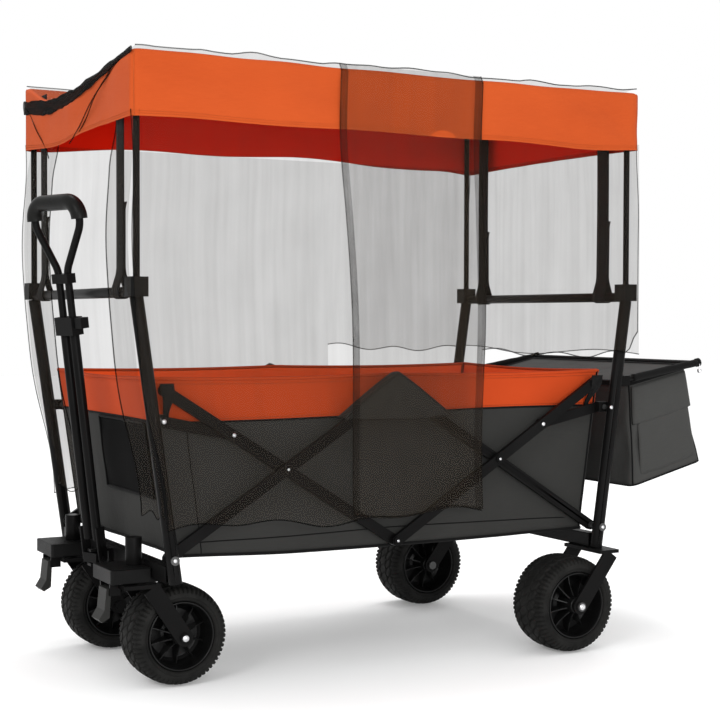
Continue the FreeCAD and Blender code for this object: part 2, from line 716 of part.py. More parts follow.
TUB_BOTTOM_X = 450.0
TUB_TOP_X = TUB_BOTTOM_X + (sheet.tub_rim - sheet.tub_floor) * POST_SLOPE
END_WALL = sheet.tub_wall + 1


def tub_side(side):
    outline = [(-TUB_BOTTOM_X, sheet.tub_floor), (TUB_BOTTOM_X, sheet.tub_floor), (TUB_TOP_X, sheet.tub_rim),
               (-TUB_TOP_X, sheet.tub_rim)]
    return plate(outline, "dims.tub_wall", side * (sheet.tub_width - sheet.tub_wall) / 2)


def tub_end(end):
    """End wall that leans with the posts."""
    low, high = sheet.tub_floor, sheet.tub_rim
    outline = [(end * TUB_BOTTOM_X, low), (end * TUB_TOP_X, high), (end * (TUB_TOP_X - END_WALL), high),
               (end * (TUB_BOTTOM_X - END_WALL), low)]
    return plate(outline, "dims.tub_width - 2 * dims.tub_wall - 1", 0)


for name, side in SIDES.items():
    keep(f"tub_side_{name}", tub_side(side))
for name, end in ENDS.items():
    keep(f"tub_{name}_wall", tub_end(end))
floor_x, floor_y = TUB_BOTTOM_X - END_WALL - 0.5, sheet.tub_width / 2 - sheet.tub_wall - 0.5
keep("tub_floor", box((-floor_x, -floor_y, sheet.tub_floor), (floor_x, floor_y, sheet.tub_floor + 6)))

COVER_X, COVER_Y = sheet.cover_length / 2, sheet.cover_width / 2
cover = box((-COVER_X, -COVER_Y, sheet.cover_bottom), (COVER_X, COVER_Y, sheet.cover_top))
skin = sheet.cloth_thickness
hollow = box((-COVER_X + skin, -COVER_Y + skin, sheet.cover_bottom), (COVER_X - skin, COVER_Y - skin,
                                                                      sheet.cover_top - skin))
keep("canopy_cover", cut(cover, hollow))

NET_Y, NET_X, NET_SKIN = 326.0, 546.0, 1.5
NET_HEM, NET_STEP_X, NET_LOW = 610.0, 165.0, 285.0
NET_TOP = sheet.cover_bottom + 60


def side_net(side):
    """Curtain along one side: long to the middle, short behind it."""
    outline = [(-NET_X, NET_LOW), (NET_STEP_X, NET_LOW), (NET_STEP_X, NET_HEM), (NET_X, NET_HEM),
               (NET_X, NET_TOP), (-NET_X, NET_TOP)]
    return plate(outline, NET_SKIN, side * NET_Y)


for name, side in SIDES.items():
    keep(f"net_{name}", side_net(side))
HANDLE_GAP = 115.0
front_nets = [box((-NET_X - NET_SKIN, low, NET_LOW), (-NET_X, high, NET_TOP))
              for low, high in ((-COVER_Y, -HANDLE_GAP), (HANDLE_GAP, COVER_Y))]
keep("net_front", group(*front_nets))
keep("net_rear", box((NET_X, -COVER_Y, NET_HEM), (NET_X + NET_SKIN, COVER_Y, NET_TOP)))

# ---- rear storage bag ----------------------------------------------------------------------

BAG_OUTLINE = [(555.0, 532.0), (708.0, 566.0), (733.0, 366.0), (551.0, 324.0)]
BAG_ARM_Y = sheet.bag_width / 2 + 12


def inset(outline, distance):
    """Outline moved inwards on every side but left open at the top (its first edge)."""
    (xa, za), (xb, zb), (xc, zc), (xd, zd) = outline
    return [(xa + distance, za + 20), (xb - distance, zb + 20), (xc - distance, zc + distance),
            (xd + distance, zd + distance)]


def storage_bag():
    shell = plate(BAG_OUTLINE, "dims.bag_width", 0)
    room = plate(inset(BAG_OUTLINE, sheet.bag_wall), "dims.bag_width - 2 * dims.bag_wall", 0)
    return cut(shell, room)


def bag_lid():
    (xa, za), (xb, zb) = BAG_OUTLINE[:2]
    outline = [(xa, za + 0.5), (xb, zb + 0.5), (xb, zb + 5.5), (xa, za + 5.5)]
    return plate(outline, "dims.bag_width", 0)


def bag_frame():
    """U-shaped tube round the bag's rim, with a pivot stub into each lug."""
    x, z = BAG_PIVOT
    rear_x, rear_z = 722.0, 575.0
    size = "dims.bag_arm_diameter"
    arms = both_sides(lambda s: rod((x, s * (BAG_ARM_Y + 4), z), (rear_x, s * BAG_ARM_Y, rear_z), size))
    stubs = both_sides(lambda s: pin_y(x, z, s * (BAG_ARM_Y + 4), s * (BAG_LUG_Y + 5), "5"))
    cross = rod((rear_x, -BAG_ARM_Y - 5, rear_z), (rear_x, BAG_ARM_Y + 5, rear_z), size)
    return fuse(*arms, *stubs, cross)


keep("storage_bag", storage_bag())
keep("bag_lid", bag_lid())
keep("bag_frame", bag_frame())

# ---- checks and export ---------------------------------------------------------------------

doc.recompute()
for obj in doc.Objects:
    if "Invalid" in obj.State or "Error" in obj.State:
        raise RuntimeError(f"{obj.Label} did not compute: {obj.State}")

os.makedirs("parts", exist_ok=True)
whole = FreeCAD.BoundBox()
for obj in subparts:
    if obj.Shape.isNull() or not obj.Shape.isValid():
        raise RuntimeError(f"{obj.Label} has no valid shape")
    obj.Shape.exportStep(f"parts/{obj.Label}.step")
    whole.add(obj.Shape.BoundBox)
print(len(subparts), "sub-parts, X", round(whole.XMin, 1), round(whole.XMax, 1), "Y", round(whole.YMin, 1),
      round(whole.YMax, 1), "Z", round(whole.ZMin, 1), round(whole.ZMax, 1))
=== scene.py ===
import math

import bmesh
import bpy
from mathutils import Matrix, Vector, noise


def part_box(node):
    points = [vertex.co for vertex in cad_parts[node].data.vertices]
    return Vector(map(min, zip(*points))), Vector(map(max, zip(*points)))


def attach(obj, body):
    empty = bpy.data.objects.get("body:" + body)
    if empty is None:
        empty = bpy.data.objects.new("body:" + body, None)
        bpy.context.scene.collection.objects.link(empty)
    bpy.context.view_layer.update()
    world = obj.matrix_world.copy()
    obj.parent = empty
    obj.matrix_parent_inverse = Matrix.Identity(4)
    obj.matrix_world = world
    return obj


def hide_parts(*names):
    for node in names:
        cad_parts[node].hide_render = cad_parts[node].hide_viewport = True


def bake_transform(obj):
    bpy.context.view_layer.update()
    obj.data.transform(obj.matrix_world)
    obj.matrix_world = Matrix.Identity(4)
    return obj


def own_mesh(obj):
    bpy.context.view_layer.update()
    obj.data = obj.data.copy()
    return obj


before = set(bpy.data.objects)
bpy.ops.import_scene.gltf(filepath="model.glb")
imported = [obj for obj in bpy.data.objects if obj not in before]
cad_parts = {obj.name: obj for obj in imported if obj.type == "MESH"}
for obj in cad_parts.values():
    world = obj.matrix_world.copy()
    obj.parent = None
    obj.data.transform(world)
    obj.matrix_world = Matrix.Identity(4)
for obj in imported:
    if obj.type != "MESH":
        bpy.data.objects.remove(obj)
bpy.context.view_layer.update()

# ---- places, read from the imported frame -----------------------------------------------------
# x, y and z below are millimetres from the wagon's middle (MID), its centre plane and the floor.

COVER_LOW, COVER_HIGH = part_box("canopy_cover")
MID = (COVER_LOW.x + COVER_HIGH.x) / 2


def mm_box(node):
    low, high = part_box(node)
    shift = Vector((MID, 0, 0))
    return (low - shift) * 1000, (high - shift) * 1000


def at(x, y, z):
    return Vector((MID + x / 1000, y / 1000, z / 1000))


def mix(a, b, share):
    return a + (b - a) * share


def smooth(low, high, value):
    share = min(1.0, max(0.0, (value - low) / (high - low)))
    return share * share * (3 - 2 * share)


COVER_MIN, COVER_MAX = mm_box("canopy_cover")
NET_MIN, NET_MAX = mm_box("net_left")
SIDE_MIN, SIDE_MAX = mm_box("tub_side_left")
FLOOR_MIN, FLOOR_MAX = mm_box("tub_floor")
BAG_MAX = mm_box("storage_bag")[1]
BAR_MIN, BAR_MAX = mm_box("front_top_bar")

SIDES = {"left": -1, "right": 1}
NEARNESS = {-1: "near", 1: "far"}

# ---- materials -------------------------------------------------------------------------------


class Finish:
    """A node material, built up call by call."""

    def __init__(self, name, roughness=0.5, metallic=0.0, sheen=0.0, coat=0.0, specular=0.5):
        self.material = bpy.data.materials.new(name)
        self.material.use_nodes = True
        self.nodes, self.links = self.material.node_tree.nodes, self.material.node_tree.links
        self.shader = self.nodes["Principled BSDF"]
        self.shader.inputs["Roughness"].default_value = roughness
        self.shader.inputs["Metallic"].default_value = metallic
        self.shader.inputs["Sheen Weight"].default_value = sheen
        self.shader.inputs["Coat Weight"].default_value = coat
        self.shader.inputs["Specular IOR Level"].default_value = specular

    def node(self, kind, values=None, **settings):
        node = self.nodes.new(f"ShaderNode{kind}")
        for key, value in settings.items():
            setattr(node, key, value)
        for key, value in (values or {}).items():
            if isinstance(value, bpy.types.NodeSocket):
                self.links.new(value, node.inputs[key])
            else:
                node.inputs[key].default_value = value
        return node

    def math(self, operation, *values):
        return self.node("Math", dict(enumerate(values)), operation=operation).outputs[0]

    def place(self):
        return self.node("TexCoord").outputs["Object"]

    def cloth_place(self):
        return self.node("TexCoord").outputs["UV"]

    def stretch(self, vector, scale):
        return self.node("Mapping", {"Vector": vector, "Scale": scale}).outputs[0]

    def cloud(self, vector, scale, detail=3.0):
        return self.node("TexNoise", {"Vector": vector, "Scale": scale, "Detail": detail}).outputs["Fac"]

    def span(self, value, low, high):
        """Fits 0.3..0.7, where noise lies, to low..high."""
        wanted = {"Value": value, "From Min": 0.3, "From Max": 0.7, "To Min": low, "To Max": high}
        return self.node("MapRange", wanted).outputs[0]

    def blend(self, factor, first, second):
        mixer = self.node("Mix", {"Factor": factor}, data_type="RGBA")
        for index, colour in ((6, first), (7, second)):
            if isinstance(colour, bpy.types.NodeSocket):
                self.links.new(colour, mixer.inputs[index])
            else:
                mixer.inputs[index].default_value = (*colour, 1)
        return mixer.outputs[2]

    def wire(self, **sockets):
        for key, value in sockets.items():
            self.links.new(value, self.shader.inputs[key.replace("_", " ")])
        return self

    def bump(self, height, distance, strength=1.0, under=None):
        values = {"Height": height, "Distance": distance, "Strength": strength}
        if under is not None:
            values["Normal"] = under
        return self.node("Bump", values).outputs[0]


def painted(name, colour, roughness, grain=900.0, spread=0.08, depth=0.00006, specular=0.1, **extra):
    """Powder coat or moulded plastic: a fine grain, uneven gloss and a little tone."""
    made = Finish(name, roughness, specular=specular, **extra)
    place = made.place()
    blotch = made.cloud(place, 9.0)
    fine = made.cloud(place, grain, 2.0)
    tone = made.span(blotch, 0.0, 1.0)
    made.wire(Base_Color=made.blend(tone, colour, [c * 1.5 + 0.001 for c in colour]))
    made.wire(Roughness=made.span(blotch, roughness - spread, roughness + spread))
    return made.wire(Normal=made.bump(fine, depth)).material


def woven(name, colour, deep, roughness=0.85, thread=0.0013, sheen=0.03, crease=0.0022):
    """Plain-weave polyester: crossed threads, faint blotches and soft creases."""
    made = Finish(name, roughness, sheen=sheen, specular=0.08)
    cloth = made.cloth_place()
    apart = made.node("SeparateXYZ", {"Vector": cloth})
    turn = 2 * math.pi / thread
    across = made.math("SINE", made.math("MULTIPLY", apart.outputs[0], turn))
    along = made.math("SINE", made.math("MULTIPLY", apart.outputs[1], turn))
    weave = made.math("MULTIPLY", across, along)
    slub = made.cloud(made.stretch(cloth, (40, 900, 1)), 1.0, 2.0)
    blotch = made.cloud(cloth, 5.0, 4.0)
    factor = made.math("ADD", made.math("MULTIPLY", made.math("ADD", weave, 1.0), 0.07),
                       made.span(made.math("ADD", made.math("MULTIPLY", blotch, 0.6),
                                           made.math("MULTIPLY", slub, 0.4)), 0.0, 0.6))
    made.wire(Base_Color=made.blend(factor, colour, deep))
    folds = made.bump(made.cloud(cloth, 11.0, 3.0), crease, 0.55)
    return made.wire(Normal=made.bump(weave, 0.00008, 0.3, folds)).material


def netting(name, colour, cover, streak):
    """Fine mesh seen from afar: a thin veil with upright streaks."""
    made = Finish(name, 0.8, specular=0.03)
    cloth = made.cloth_place()
    streaks = made.cloud(made.stretch(cloth, (55, 1.6, 1)), 1.0, 3.0)
    moire = made.cloud(made.stretch(cloth, (14, 9, 1)), 1.0, 2.0)
    veil = made.math("ADD", made.span(streaks, cover - streak, cover + streak),
                     made.span(moire, -streak / 2, streak / 2))
    made.shader.inputs["Base Color"].default_value = (*colour, 1)
    return made.wire(Alpha=veil).material


def rubber():
    made = Finish("tyre_rubber", 0.78, specular=0.12)
    place = made.place()
    dust = made.span(made.cloud(place, 26.0, 5.0), 0.0, 1.0)
    made.wire(Base_Color=made.blend(dust, (0.0045, 0.0045, 0.0042), (0.011, 0.0107, 0.010)))
    made.wire(Roughness=made.span(made.cloud(place, 60.0), 0.62, 0.86))
    return made.wire(Normal=made.bump(made.cloud(place, 700.0, 2.0), 0.00015)).material


def ribbed_webbing():
    made = Finish("webbing_black", 0.75, sheen=0.02, specular=0.08)
    cloth = made.cloth_place()
    apart = made.node("SeparateXYZ", {"Vector": cloth})
    ribs = made.math("SINE", made.math("MULTIPLY", apart.outputs[1], 2 * math.pi / 0.0022))
    edge = made.math("SINE", made.math("MULTIPLY", apart.outputs[0], 2 * math.pi / 0.009))
    tone = made.span(made.cloud(cloth, 80.0), 0.0, 1.0)
    made.wire(Base_Color=made.blend(tone, (0.004, 0.004, 0.004), (0.009, 0.009, 0.009)))
    return made.wire(Normal=made.bump(made.math("ADD", ribs, edge), 0.0002, 0.6)).material


ORANGE, ORANGE_DEEP = (0.46, 0.072, 0.014), (0.34, 0.046, 0.008)
CHARCOAL, CHARCOAL_DEEP = (0.030, 0.030, 0.0285), (0.019, 0.019, 0.018)

FRAME_PAINT = painted("frame_powder_coat", (0.0032, 0.0031, 0.0031), 0.36, specular=0.05)
PLASTIC = painted("moulded_plastic", (0.0040, 0.0040, 0.0040), 0.46, grain=1400.0, depth=0.00012,
                  specular=0.06)
PEDAL = painted("pedal_plastic", (0.014, 0.014, 0.013), 0.52, grain=1200.0, depth=0.00012)
HUB = painted("hub_plastic", (0.0026, 0.0026, 0.0026), 0.33, grain=600.0, specular=0.2)
GRIP = painted("grip_plastic", (0.0045, 0.0045, 0.0042), 0.30, grain=1600.0, depth=0.00010, specular=0.09)
ZINC = painted("zinc_plate", (0.50, 0.50, 0.51), 0.26, grain=500.0, metallic=1.0)
DULL_ZINC = painted("dull_zinc", (0.06, 0.06, 0.06), 0.42, grain=500.0, metallic=0.8)
TYRE = rubber()
WEBBING = ribbed_webbing()
CANOPY = woven("canopy_weave", ORANGE, ORANGE_DEEP, crease=0.007)
# Underside of the same orange canopy cloth, coloured deep red: painted shade under the canopy with painted
# light shining through the cloth, not a separate lining fabric.
CANOPY_UNDERSIDE_PAINTED_SHADE = woven("canopy_underside_painted_shade", (0.74, 0.016, 0.002), (0.60, 0.011, 0.0015), sheen=0.0)
TUB_ORANGE = woven("tub_orange_weave", (0.45, 0.052, 0.010), (0.36, 0.037, 0.006))
# Same orange cloth as the tub's outer band, made about twice as bright: painted light on the inner face,
# which the canopy keeps in shade.
TUB_ORANGE_INSIDE_PAINTED_LIGHT = woven("tub_orange_inside_painted_light", (0.90, 0.105, 0.022), (0.76, 0.08, 0.015))
TUB_GREY = woven("tub_grey_weave", CHARCOAL, CHARCOAL_DEEP, crease=0.005)
BAG_GREY = woven("bag_grey_weave", (0.048, 0.048, 0.046), (0.030, 0.030, 0.029), crease=0.008)
PIPING = woven("black_piping", (0.005, 0.005, 0.005), (0.003, 0.003, 0.003), thread=0.002)
THREAD = painted("stitching_thread", (0.30, 0.055, 0.012), 0.8)
THREAD_DARK = painted("dark_thread", (0.012, 0.012, 0.012), 0.8)
NET = netting("mosquito_net", (0.027, 0.021, 0.015), 0.24, 0.035)
NET_SEAM = netting("net_hem", (0.004, 0.0038, 0.0035), 0.62, 0.16)
NET_BAND = netting("net_band", (0.010, 0.008, 0.006), 0.48, 0.20)
NET_HEADING = netting("net_heading", (0.006, 0.0055, 0.005), 0.90, 0.09)
POCKET_MESH = painted("pocket_mesh", (0.004, 0.004, 0.004), 0.8, specular=0.02)

SLOT_FINISH = {"frame_black": FRAME_PAINT, "steel": DULL_ZINC, "black_plastic": PLASTIC,
               "pedal_plastic": PEDAL, "hub_plastic": HUB, "tyre": TYRE, "grip": GRIP}

# ---- mesh helpers ----------------------------------------------------------------------------


def to_object(name, bm, material, smooth_faces=True):
    bmesh.ops.recalc_face_normals(bm, faces=bm.faces)
    data = bpy.data.meshes.new(name)
    bm.to_mesh(data)
    bm.free()
    made = bpy.data.objects.new(name, data)
    bpy.context.scene.collection.objects.link(made)
    for each in material if isinstance(material, list) else [material]:
        data.materials.append(each)
    data.polygons.foreach_set("use_smooth", [smooth_faces] * len(data.polygons))
    return made


def grid(bm, point, columns, rows, size=(1, 1), material=lambda u, v: 0, wrap=False):
    """Quad surface through point(u, v), with its UVs in metres of cloth. u and v run from 0 to 1."""
    cloth = bm.loops.layers.uv.verify()
    count = columns if wrap else columns + 1
    corners = [[bm.verts.new(point(i / columns, j / rows)) for i in range(count)] for j in range(rows + 1)]
    for j in range(rows):
        for i in range(columns):
            square = [(i, j), (i + 1, j), (i + 1, j + 1), (i, j + 1)]
            verts = [corners[b][a % count] for a, b in square]
            face = bm.faces.new(verts)
            face.material_index = material((i + 0.5) / columns, (j + 0.5) / rows)
            for loop, (a, b) in zip(face.loops, square):
                loop[cloth].uv = (a / columns * size[0], b / rows * size[1])
    return corners


def welded(bm, distance=0.00005):
    bmesh.ops.remove_doubles(bm, verts=bm.verts, dist=distance)
    return bm


def tube(bm, path, radius, segments=8, closed=False, caps=True):
    """Round tube of that radius in metres along points in the row frame."""
    cloth = bm.loops.layers.uv.verify()
    count = len(path)
    rings, side = [], None
    for index, point in enumerate(path):
        before = path[index - 1] if index or closed else point
        after = path[(index + 1) % count] if index < count - 1 or closed else point
        ahead = (after - before).normalized()
        if side is None:
            side = ahead.orthogonal().normalized()
        side = (side - ahead * side.dot(ahead)).normalized()
        up = ahead.cross(side)
        turns = [2 * math.pi * k / segments for k in range(segments)]
        rings.append([bm.verts.new(point + (side * math.cos(t) + up * math.sin(t)) * radius)
                      for t in turns])
    pairs = list(zip(rings, rings[1:])) + ([(rings[-1], rings[0])] if closed else [])
    run = 0.0
    for index, (first, second) in enumerate(pairs):
        step = (path[(index + 1) % count] - path[index]).length
        for k in range(segments):
            n = (k + 1) % segments
            face = bm.faces.new([first[k], first[n], second[n], second[k]])
            for loop, uv in zip(face.loops, ((k, run), (k + 1, run), (k + 1, run + step), (k, run + step))):
                loop[cloth].uv = (uv[0] / segments * 2 * math.pi * radius, uv[1])
        run += step
    if caps and not closed:
        bm.faces.new(rings[0][::-1])
        bm.faces.new(rings[-1])


def across(point, v, count):
    """Points along a surface at one v."""
    return [point(k / count, v) for k in range(count + 1)]


def down(point, u, count):
    """Points along a surface at one u."""
    return [point(u, k / count) for k in range(count + 1)]


def stitches(bm, path, pitch=0.0042, length=0.0028, radius=0.00038):
    """Separate short stitches along a line in the row frame."""
    run, ends = 0.0, []
    for start, end in zip(path, path[1:]):
        ends.append((run, start))
        run += (end - start).length
    ends.append((run, path[-1]))

    def along(distance):
        for (low, start), (high, end) in zip(ends, ends[1:]):
            if distance <= high:
                return start.lerp(end, (distance - low) / max(high - low, 1e-9))
        return ends[-1][1]

    place = pitch / 2
    while place + length < run:
        tube(bm, [along(place), along(place + length)], radius, 4)
        place += pitch


def rounded_loop(half_x, half_y, radius, per_side=(40, 24), per_corner=5):
    """Counter-clockwise rounded rectangle about 0, with its outward direction at each point."""
    radius = max(min(radius, half_x, half_y), 0.0)
    points = []
    corners = ((1, -1, -90), (1, 1, 0), (-1, 1, 90), (-1, -1, 180))
    for number, (sx, sy, start) in enumerate(corners):
        centre = Vector((sx * (half_x - radius), sy * (half_y - radius), 0))
        for k in range(per_corner + 1):
            turn = math.radians(start + 90 * k / per_corner)
            out = Vector((math.cos(turn), math.sin(turn), 0))
            points.append((centre + out * radius, out))
        nx, ny, _ = corners[(number + 1) % 4]
        after = Vector((nx * (half_x - radius), ny * (half_y - radius), 0))
        out = Vector((math.cos(math.radians(start + 90)), math.sin(math.radians(start + 90)), 0))
        count = per_side[0] if number in (1, 3) else per_side[1]
        first, last = centre + out * radius, after + out * radius
        for k in range(1, count):
            points.append((first.lerp(last, k / count), out))
    return points


def thick(obj, thickness, offset=0.0, material_offset=0):
    solid = obj.modifiers.new("Thickness", "SOLIDIFY")
    solid.thickness = thickness / 1000
    solid.offset = offset
    solid.material_offset = material_offset
    solid.use_even_offset = True
    return obj


def bevelled(obj, width, segments=2, angle=35):
    bevel = obj.modifiers.new("Edges", "BEVEL")
    bevel.width = width / 1000
    bevel.segments = segments
    bevel.limit_method = "ANGLE"
    bevel.angle_limit = math.radians(angle)
    bevel.use_clamp_overlap = True
    return obj


def waver(x, y, z, size, depth):
    """Smooth unevenness of a cloth at a place, in millimetres."""
    return noise.noise(Vector((x / size, y / size, z / size))) * depth


def fold_squash(obj):
    """Gives the cloth its own copy of its mesh."""
    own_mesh(obj)
    return obj


# ---- carried-over parts ----------------------------------------------------------------------


def slot_of(name):
    for key, slot in (("tyre", "tyre"), ("hub", "hub_plastic"), ("rivets", "steel"), ("bolts", "steel"),
                      ("pedal", "pedal_plastic"), ("sockets", "black_plastic"), ("housings", "black_plastic"),
                      ("collar", "black_plastic"), ("knob", "black_plastic"), ("grip", "grip")):
        if key in name:
            return slot
    return "frame_black"


EDGE_WIDTH = {"front_corner_sockets": 2.5, "rear_corner_sockets": 2.5, "handle_collar": 3.0,
              "handle_lock_knob": 2.5, "caster_housings": 4.0, "brake_pedal_left": 1.5,
              "brake_pedal_right": 1.5, "front_lower_frame": 1.5, "rear_lower_beam": 1.5}

for name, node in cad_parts.items():
    if name.startswith(("net_", "tub_", "canopy_cover", "storage_bag", "bag_lid")) or "straps" in name:
        continue
    slot = slot_of(name)
    node.data.materials.clear()
    node.data.materials.append(SLOT_FINISH[slot])
    if "grip" in name or "loop" in name:
        continue
    weld = node.modifiers.new("Weld", "WELD")
    weld.merge_threshold = 0.00002
    bevelled(node, EDGE_WIDTH.get(name, 0.8), 2, 40)

# ---- canopy ----------------------------------------------------------------------------------


def canopy_hem(x, y):
    """Height of the valance's lower edge: it hangs a little lower between its fixings."""
    half_x, half_y = COVER_MAX.x, COVER_MAX.y
    u, w = x / half_x, y / half_y
    near = -5 * math.exp(-((u - 0.72) / 0.22) ** 2) - 1.5 * math.sin(3.1 * math.pi * u)
    far = 17 * (1 - u * u) + 4 * math.sin(2.6 * math.pi * u)
    front = -11 * math.exp(-((w - 0.35) / 0.4) ** 2)
    rear = 4 * (1 - w * w)
    edge_x, edge_y = max(0.0, 1 - (half_x - abs(x)) / 60), max(0.0, 1 - (half_y - abs(y)) / 60)
    along_side = near if y < 0 else far
    along_end = front if x < 0 else rear
    rise = along_side * edge_y * (1 - edge_x * 0.999) + along_end * edge_x * (1 - edge_y * 0.999)
    return COVER_MIN.z + rise


def canopy_top(x, y):
    """Height of the top cloth, which sags between the four poles."""
    u, w = x / COVER_MAX.x, y / COVER_MAX.y
    bowl = 20 * (1 - u * u) * (1 - w * w)
    sides = 3.5 * (1 - u * u) * w ** 4
    front = 34 * (1 - w * w) * smooth(0.3, 1.0, -u) * (1 + 0.35 * math.sin(2.2 * w))
    rear = 7 * (1 - w * w) * smooth(0.3, 1.0, u)
    far_corner = 15 * smooth(0.5, 1.0, w) * smooth(0.2, 1.0, -u)
    return COVER_MAX.z - 1 - bowl - sides - front - rear + far_corner + waver(x, y, 0, 120, 3)


CANOPY_STRETCH, CANOPY_REARWARD = 1.0145, 2.0


def canopy_cover():
    """One shell: the top, its rounded edge and the valance down to the hem."""
    drop = COVER_MAX.z - COVER_MIN.z
    edge = 7.0
    half_x, half_y = COVER_MAX.x - 1.5, COVER_MAX.y - 1.5
    insets = [half_y - 2, 300, 260, 220, 180, 140, 100, 70, 45, 28, 16, edge + 2]
    rings = []
    for inset in insets:
        loop = rounded_loop(half_x - inset, half_y - inset, max(1.5, 14 - inset))
        rings.append([(p, 0) for p, out in loop])
    arc = [math.radians(90 * k / 4) for k in range(5)]
    for turn in arc:
        shrink = edge * (1 - math.sin(turn))
        fall = edge * (1 - math.cos(turn))
        rings.append([(p, fall) for p, out in rounded_loop(half_x - shrink, half_y - shrink, 14)])
    for k in range(1, 13):
        rings.append([(p, mix(edge, drop, k / 12)) for p, out in rounded_loop(half_x, half_y, 14)])
    outward = [out for p, out in rounded_loop(half_x, half_y, 14)]
    bm = bmesh.new()
    count = len(outward)

    def point(u, v):
        number = round(v * (len(rings) - 1))
        index = round(u * count) % count
        place, fall = rings[number][index]
        x, y = place.x, place.y if number else 0.0
        z = canopy_top(x, y)
        if fall:
            hem = canopy_hem(x, y)
            share = fall / drop
            z = mix(z, hem, share)
            out = outward[index]
            corner = math.exp(-((half_x - abs(x)) / 90) ** 2 - ((half_y - abs(y)) / 90) ** 2)
            drape = math.sin(share * math.pi) * (waver(x, y, z, 95, 9) - 2.5) * (1 - corner)
            slant = math.sin((x + 1.9 * z) / 34) * math.exp(-((x - 430) / 95) ** 2) * (y < 0)
            drape += 2.4 * slant * math.sin(share * math.pi)
            ripple = share * waver(x * 1.3, y * 1.3, 40, 60, 4) * (1 - corner)
            pull = -2.5 * math.sin(share * math.pi) * math.exp(-((half_x - abs(x)) / 60) ** 2)
            x += out.x * (drape + ripple)
            y += out.y * (drape + ripple + pull)
        return at(x * CANOPY_STRETCH + CANOPY_REARWARD, y, z)

    perimeter = 2 * (half_x + half_y) * 2 / 1000
    grid(bm, point, count, len(rings) - 1, (perimeter, half_y / 1000 + drop / 1000), wrap=True)
    made = to_object("canopy_cover_cloth", welded(bm, 0.0006), [CANOPY, CANOPY_UNDERSIDE_PAINTED_SHADE])
    # The inner face of the shell takes the underside colour, with its painted shade.
    thick(made, 1.2, -1.0, 1).modifiers["Thickness"].use_even_offset = False
    smoother = made.modifiers.new("Soft", "SUBSURF")
    smoother.levels = smoother.render_levels = 1
    return made, point, count, len(rings) - 1


CANOPY_CLOTH, canopy_point, CANOPY_AROUND, CANOPY_ROWS = canopy_cover()
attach(CANOPY_CLOTH, "front_frame")
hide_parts("canopy_cover")
fold_squash(CANOPY_CLOTH)


def outset(path, distance):
    """The line moved out from the wagon's middle."""
    moved = []
    for point in path:
        out = Vector(((point.x - MID) / (COVER_MAX.x / 1000), point.y / (COVER_MAX.y / 1000), 0))
        out = Vector((out.x ** 9, out.y ** 9, 0)).normalized()
        moved.append(point + out * distance / 1000)
    return moved


def canopy_trim():
    """Hem stitching round the valance and the corner seams."""
    bm = bmesh.new()
    for row in (CANOPY_ROWS - 1.0, CANOPY_ROWS - 0.55):
        low = int(row)
        share = row - low
        path = []
        for k in range(CANOPY_AROUND + 1):
            a = canopy_point((k % CANOPY_AROUND) / CANOPY_AROUND, low / CANOPY_ROWS)
            b = canopy_point((k % CANOPY_AROUND) / CANOPY_AROUND, min(low + 1, CANOPY_ROWS) / CANOPY_ROWS)
            path.append(a.lerp(b, share))
        stitches(bm, outset(path, 0.5))
    corner_loop = rounded_loop(COVER_MAX.x - 1.5, COVER_MAX.y - 1.5, 14)
    index = [i for i, (p, out) in enumerate(corner_loop) if abs(abs(out.x) - abs(out.y)) < 0.3]
    for k in range(4):
        chosen = index[len(index) // 8 + k * len(index) // 4]
        path = [canopy_point(chosen / CANOPY_AROUND, r / CANOPY_ROWS) for r in range(14, CANOPY_ROWS + 1)]
        tube(bm, outset(path, 0.3), 0.0007, 5)
    made = to_object("canopy_stitching", bm, THREAD)
    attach(made, "front_frame")
    return fold_squash(made)


CANOPY_TRIM = canopy_trim()

# ---- mosquito net ----------------------------------------------------------------------------

NET_TOP = COVER_MIN.z + 12
NET_STEP = 165.0
SHORT_HEM = 608.0
LONG_HEM = 300.0


def net_front_edge(z):
    """The curtain's front edge swings back towards the tub as it hangs."""
    return mix(NET_MIN.x + 4, -478.0, smooth(720, 260, z)) + 3 * math.sin(z / 47)


def curtain_out(x, z, seed):
    """How far a hanging curtain stands off its plane."""
    hang = smooth(NET_TOP, NET_TOP - 160, z)
    folds = math.sin(x / 31 + seed) * 1.6 + math.sin(x / 67 + 2 * seed) * 2.0
    return hang * (folds + waver(x, seed * 90, z / 3, 90, 5)) - 11 * (1 - hang)


def side_net(name, side):
    """Long curtain as far as the middle and a short one behind it, with dark hems."""
    bm = bmesh.new()
    plane = NET_MAX.y if side > 0 else NET_MIN.y
    plane = side * (abs(plane) - 2.5)

    def long_part(u, v):
        z = mix(NET_TOP, LONG_HEM + 7 * math.sin(u * 9) + 5 * math.sin(u * 23), v)
        x = mix(net_front_edge(z), NET_STEP, u)
        return at(x, plane + side * curtain_out(x, z, 1.3), z)

    def short_part(u, v):
        hem = SHORT_HEM - 12 * math.sin(u * 2.6) + 5 * math.sin(u * 17)
        hem += 45 * smooth(0.93, 1.0, u)
        z = mix(NET_TOP, hem, v)
        x = mix(NET_STEP, NET_MAX.x - 3, u)
        return at(x, plane + side * curtain_out(x, z, 1.3), z)

    grid(bm, long_part, 70, 40, ((NET_STEP - NET_MIN.x) / 1000, (NET_TOP - LONG_HEM) / 1000))
    grid(bm, short_part, 40, 24, ((NET_MAX.x - NET_STEP) / 1000, (NET_TOP - SHORT_HEM) / 1000))
    made = to_object(f"{name}_mesh", welded(bm), NET)
    hems = bmesh.new()
    for part, count in ((long_part, 70), (short_part, 40)):
        tube(hems, across(part, 1.0, count), 0.0013, 5)
    tube(hems, down(long_part, 0.0, 40), 0.0009, 5)
    tube(hems, down(short_part, 1.0, 24), 0.0009, 5)
    hem = to_object(f"{name}_hem", hems, NET_SEAM)
    return made, hem


def finish_net(cloth, node, extra, body="front_frame", squashed=True):
    for each in (cloth, *extra):
        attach(each, body)
        if squashed:
            fold_squash(each)
    if node:
        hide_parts(node)


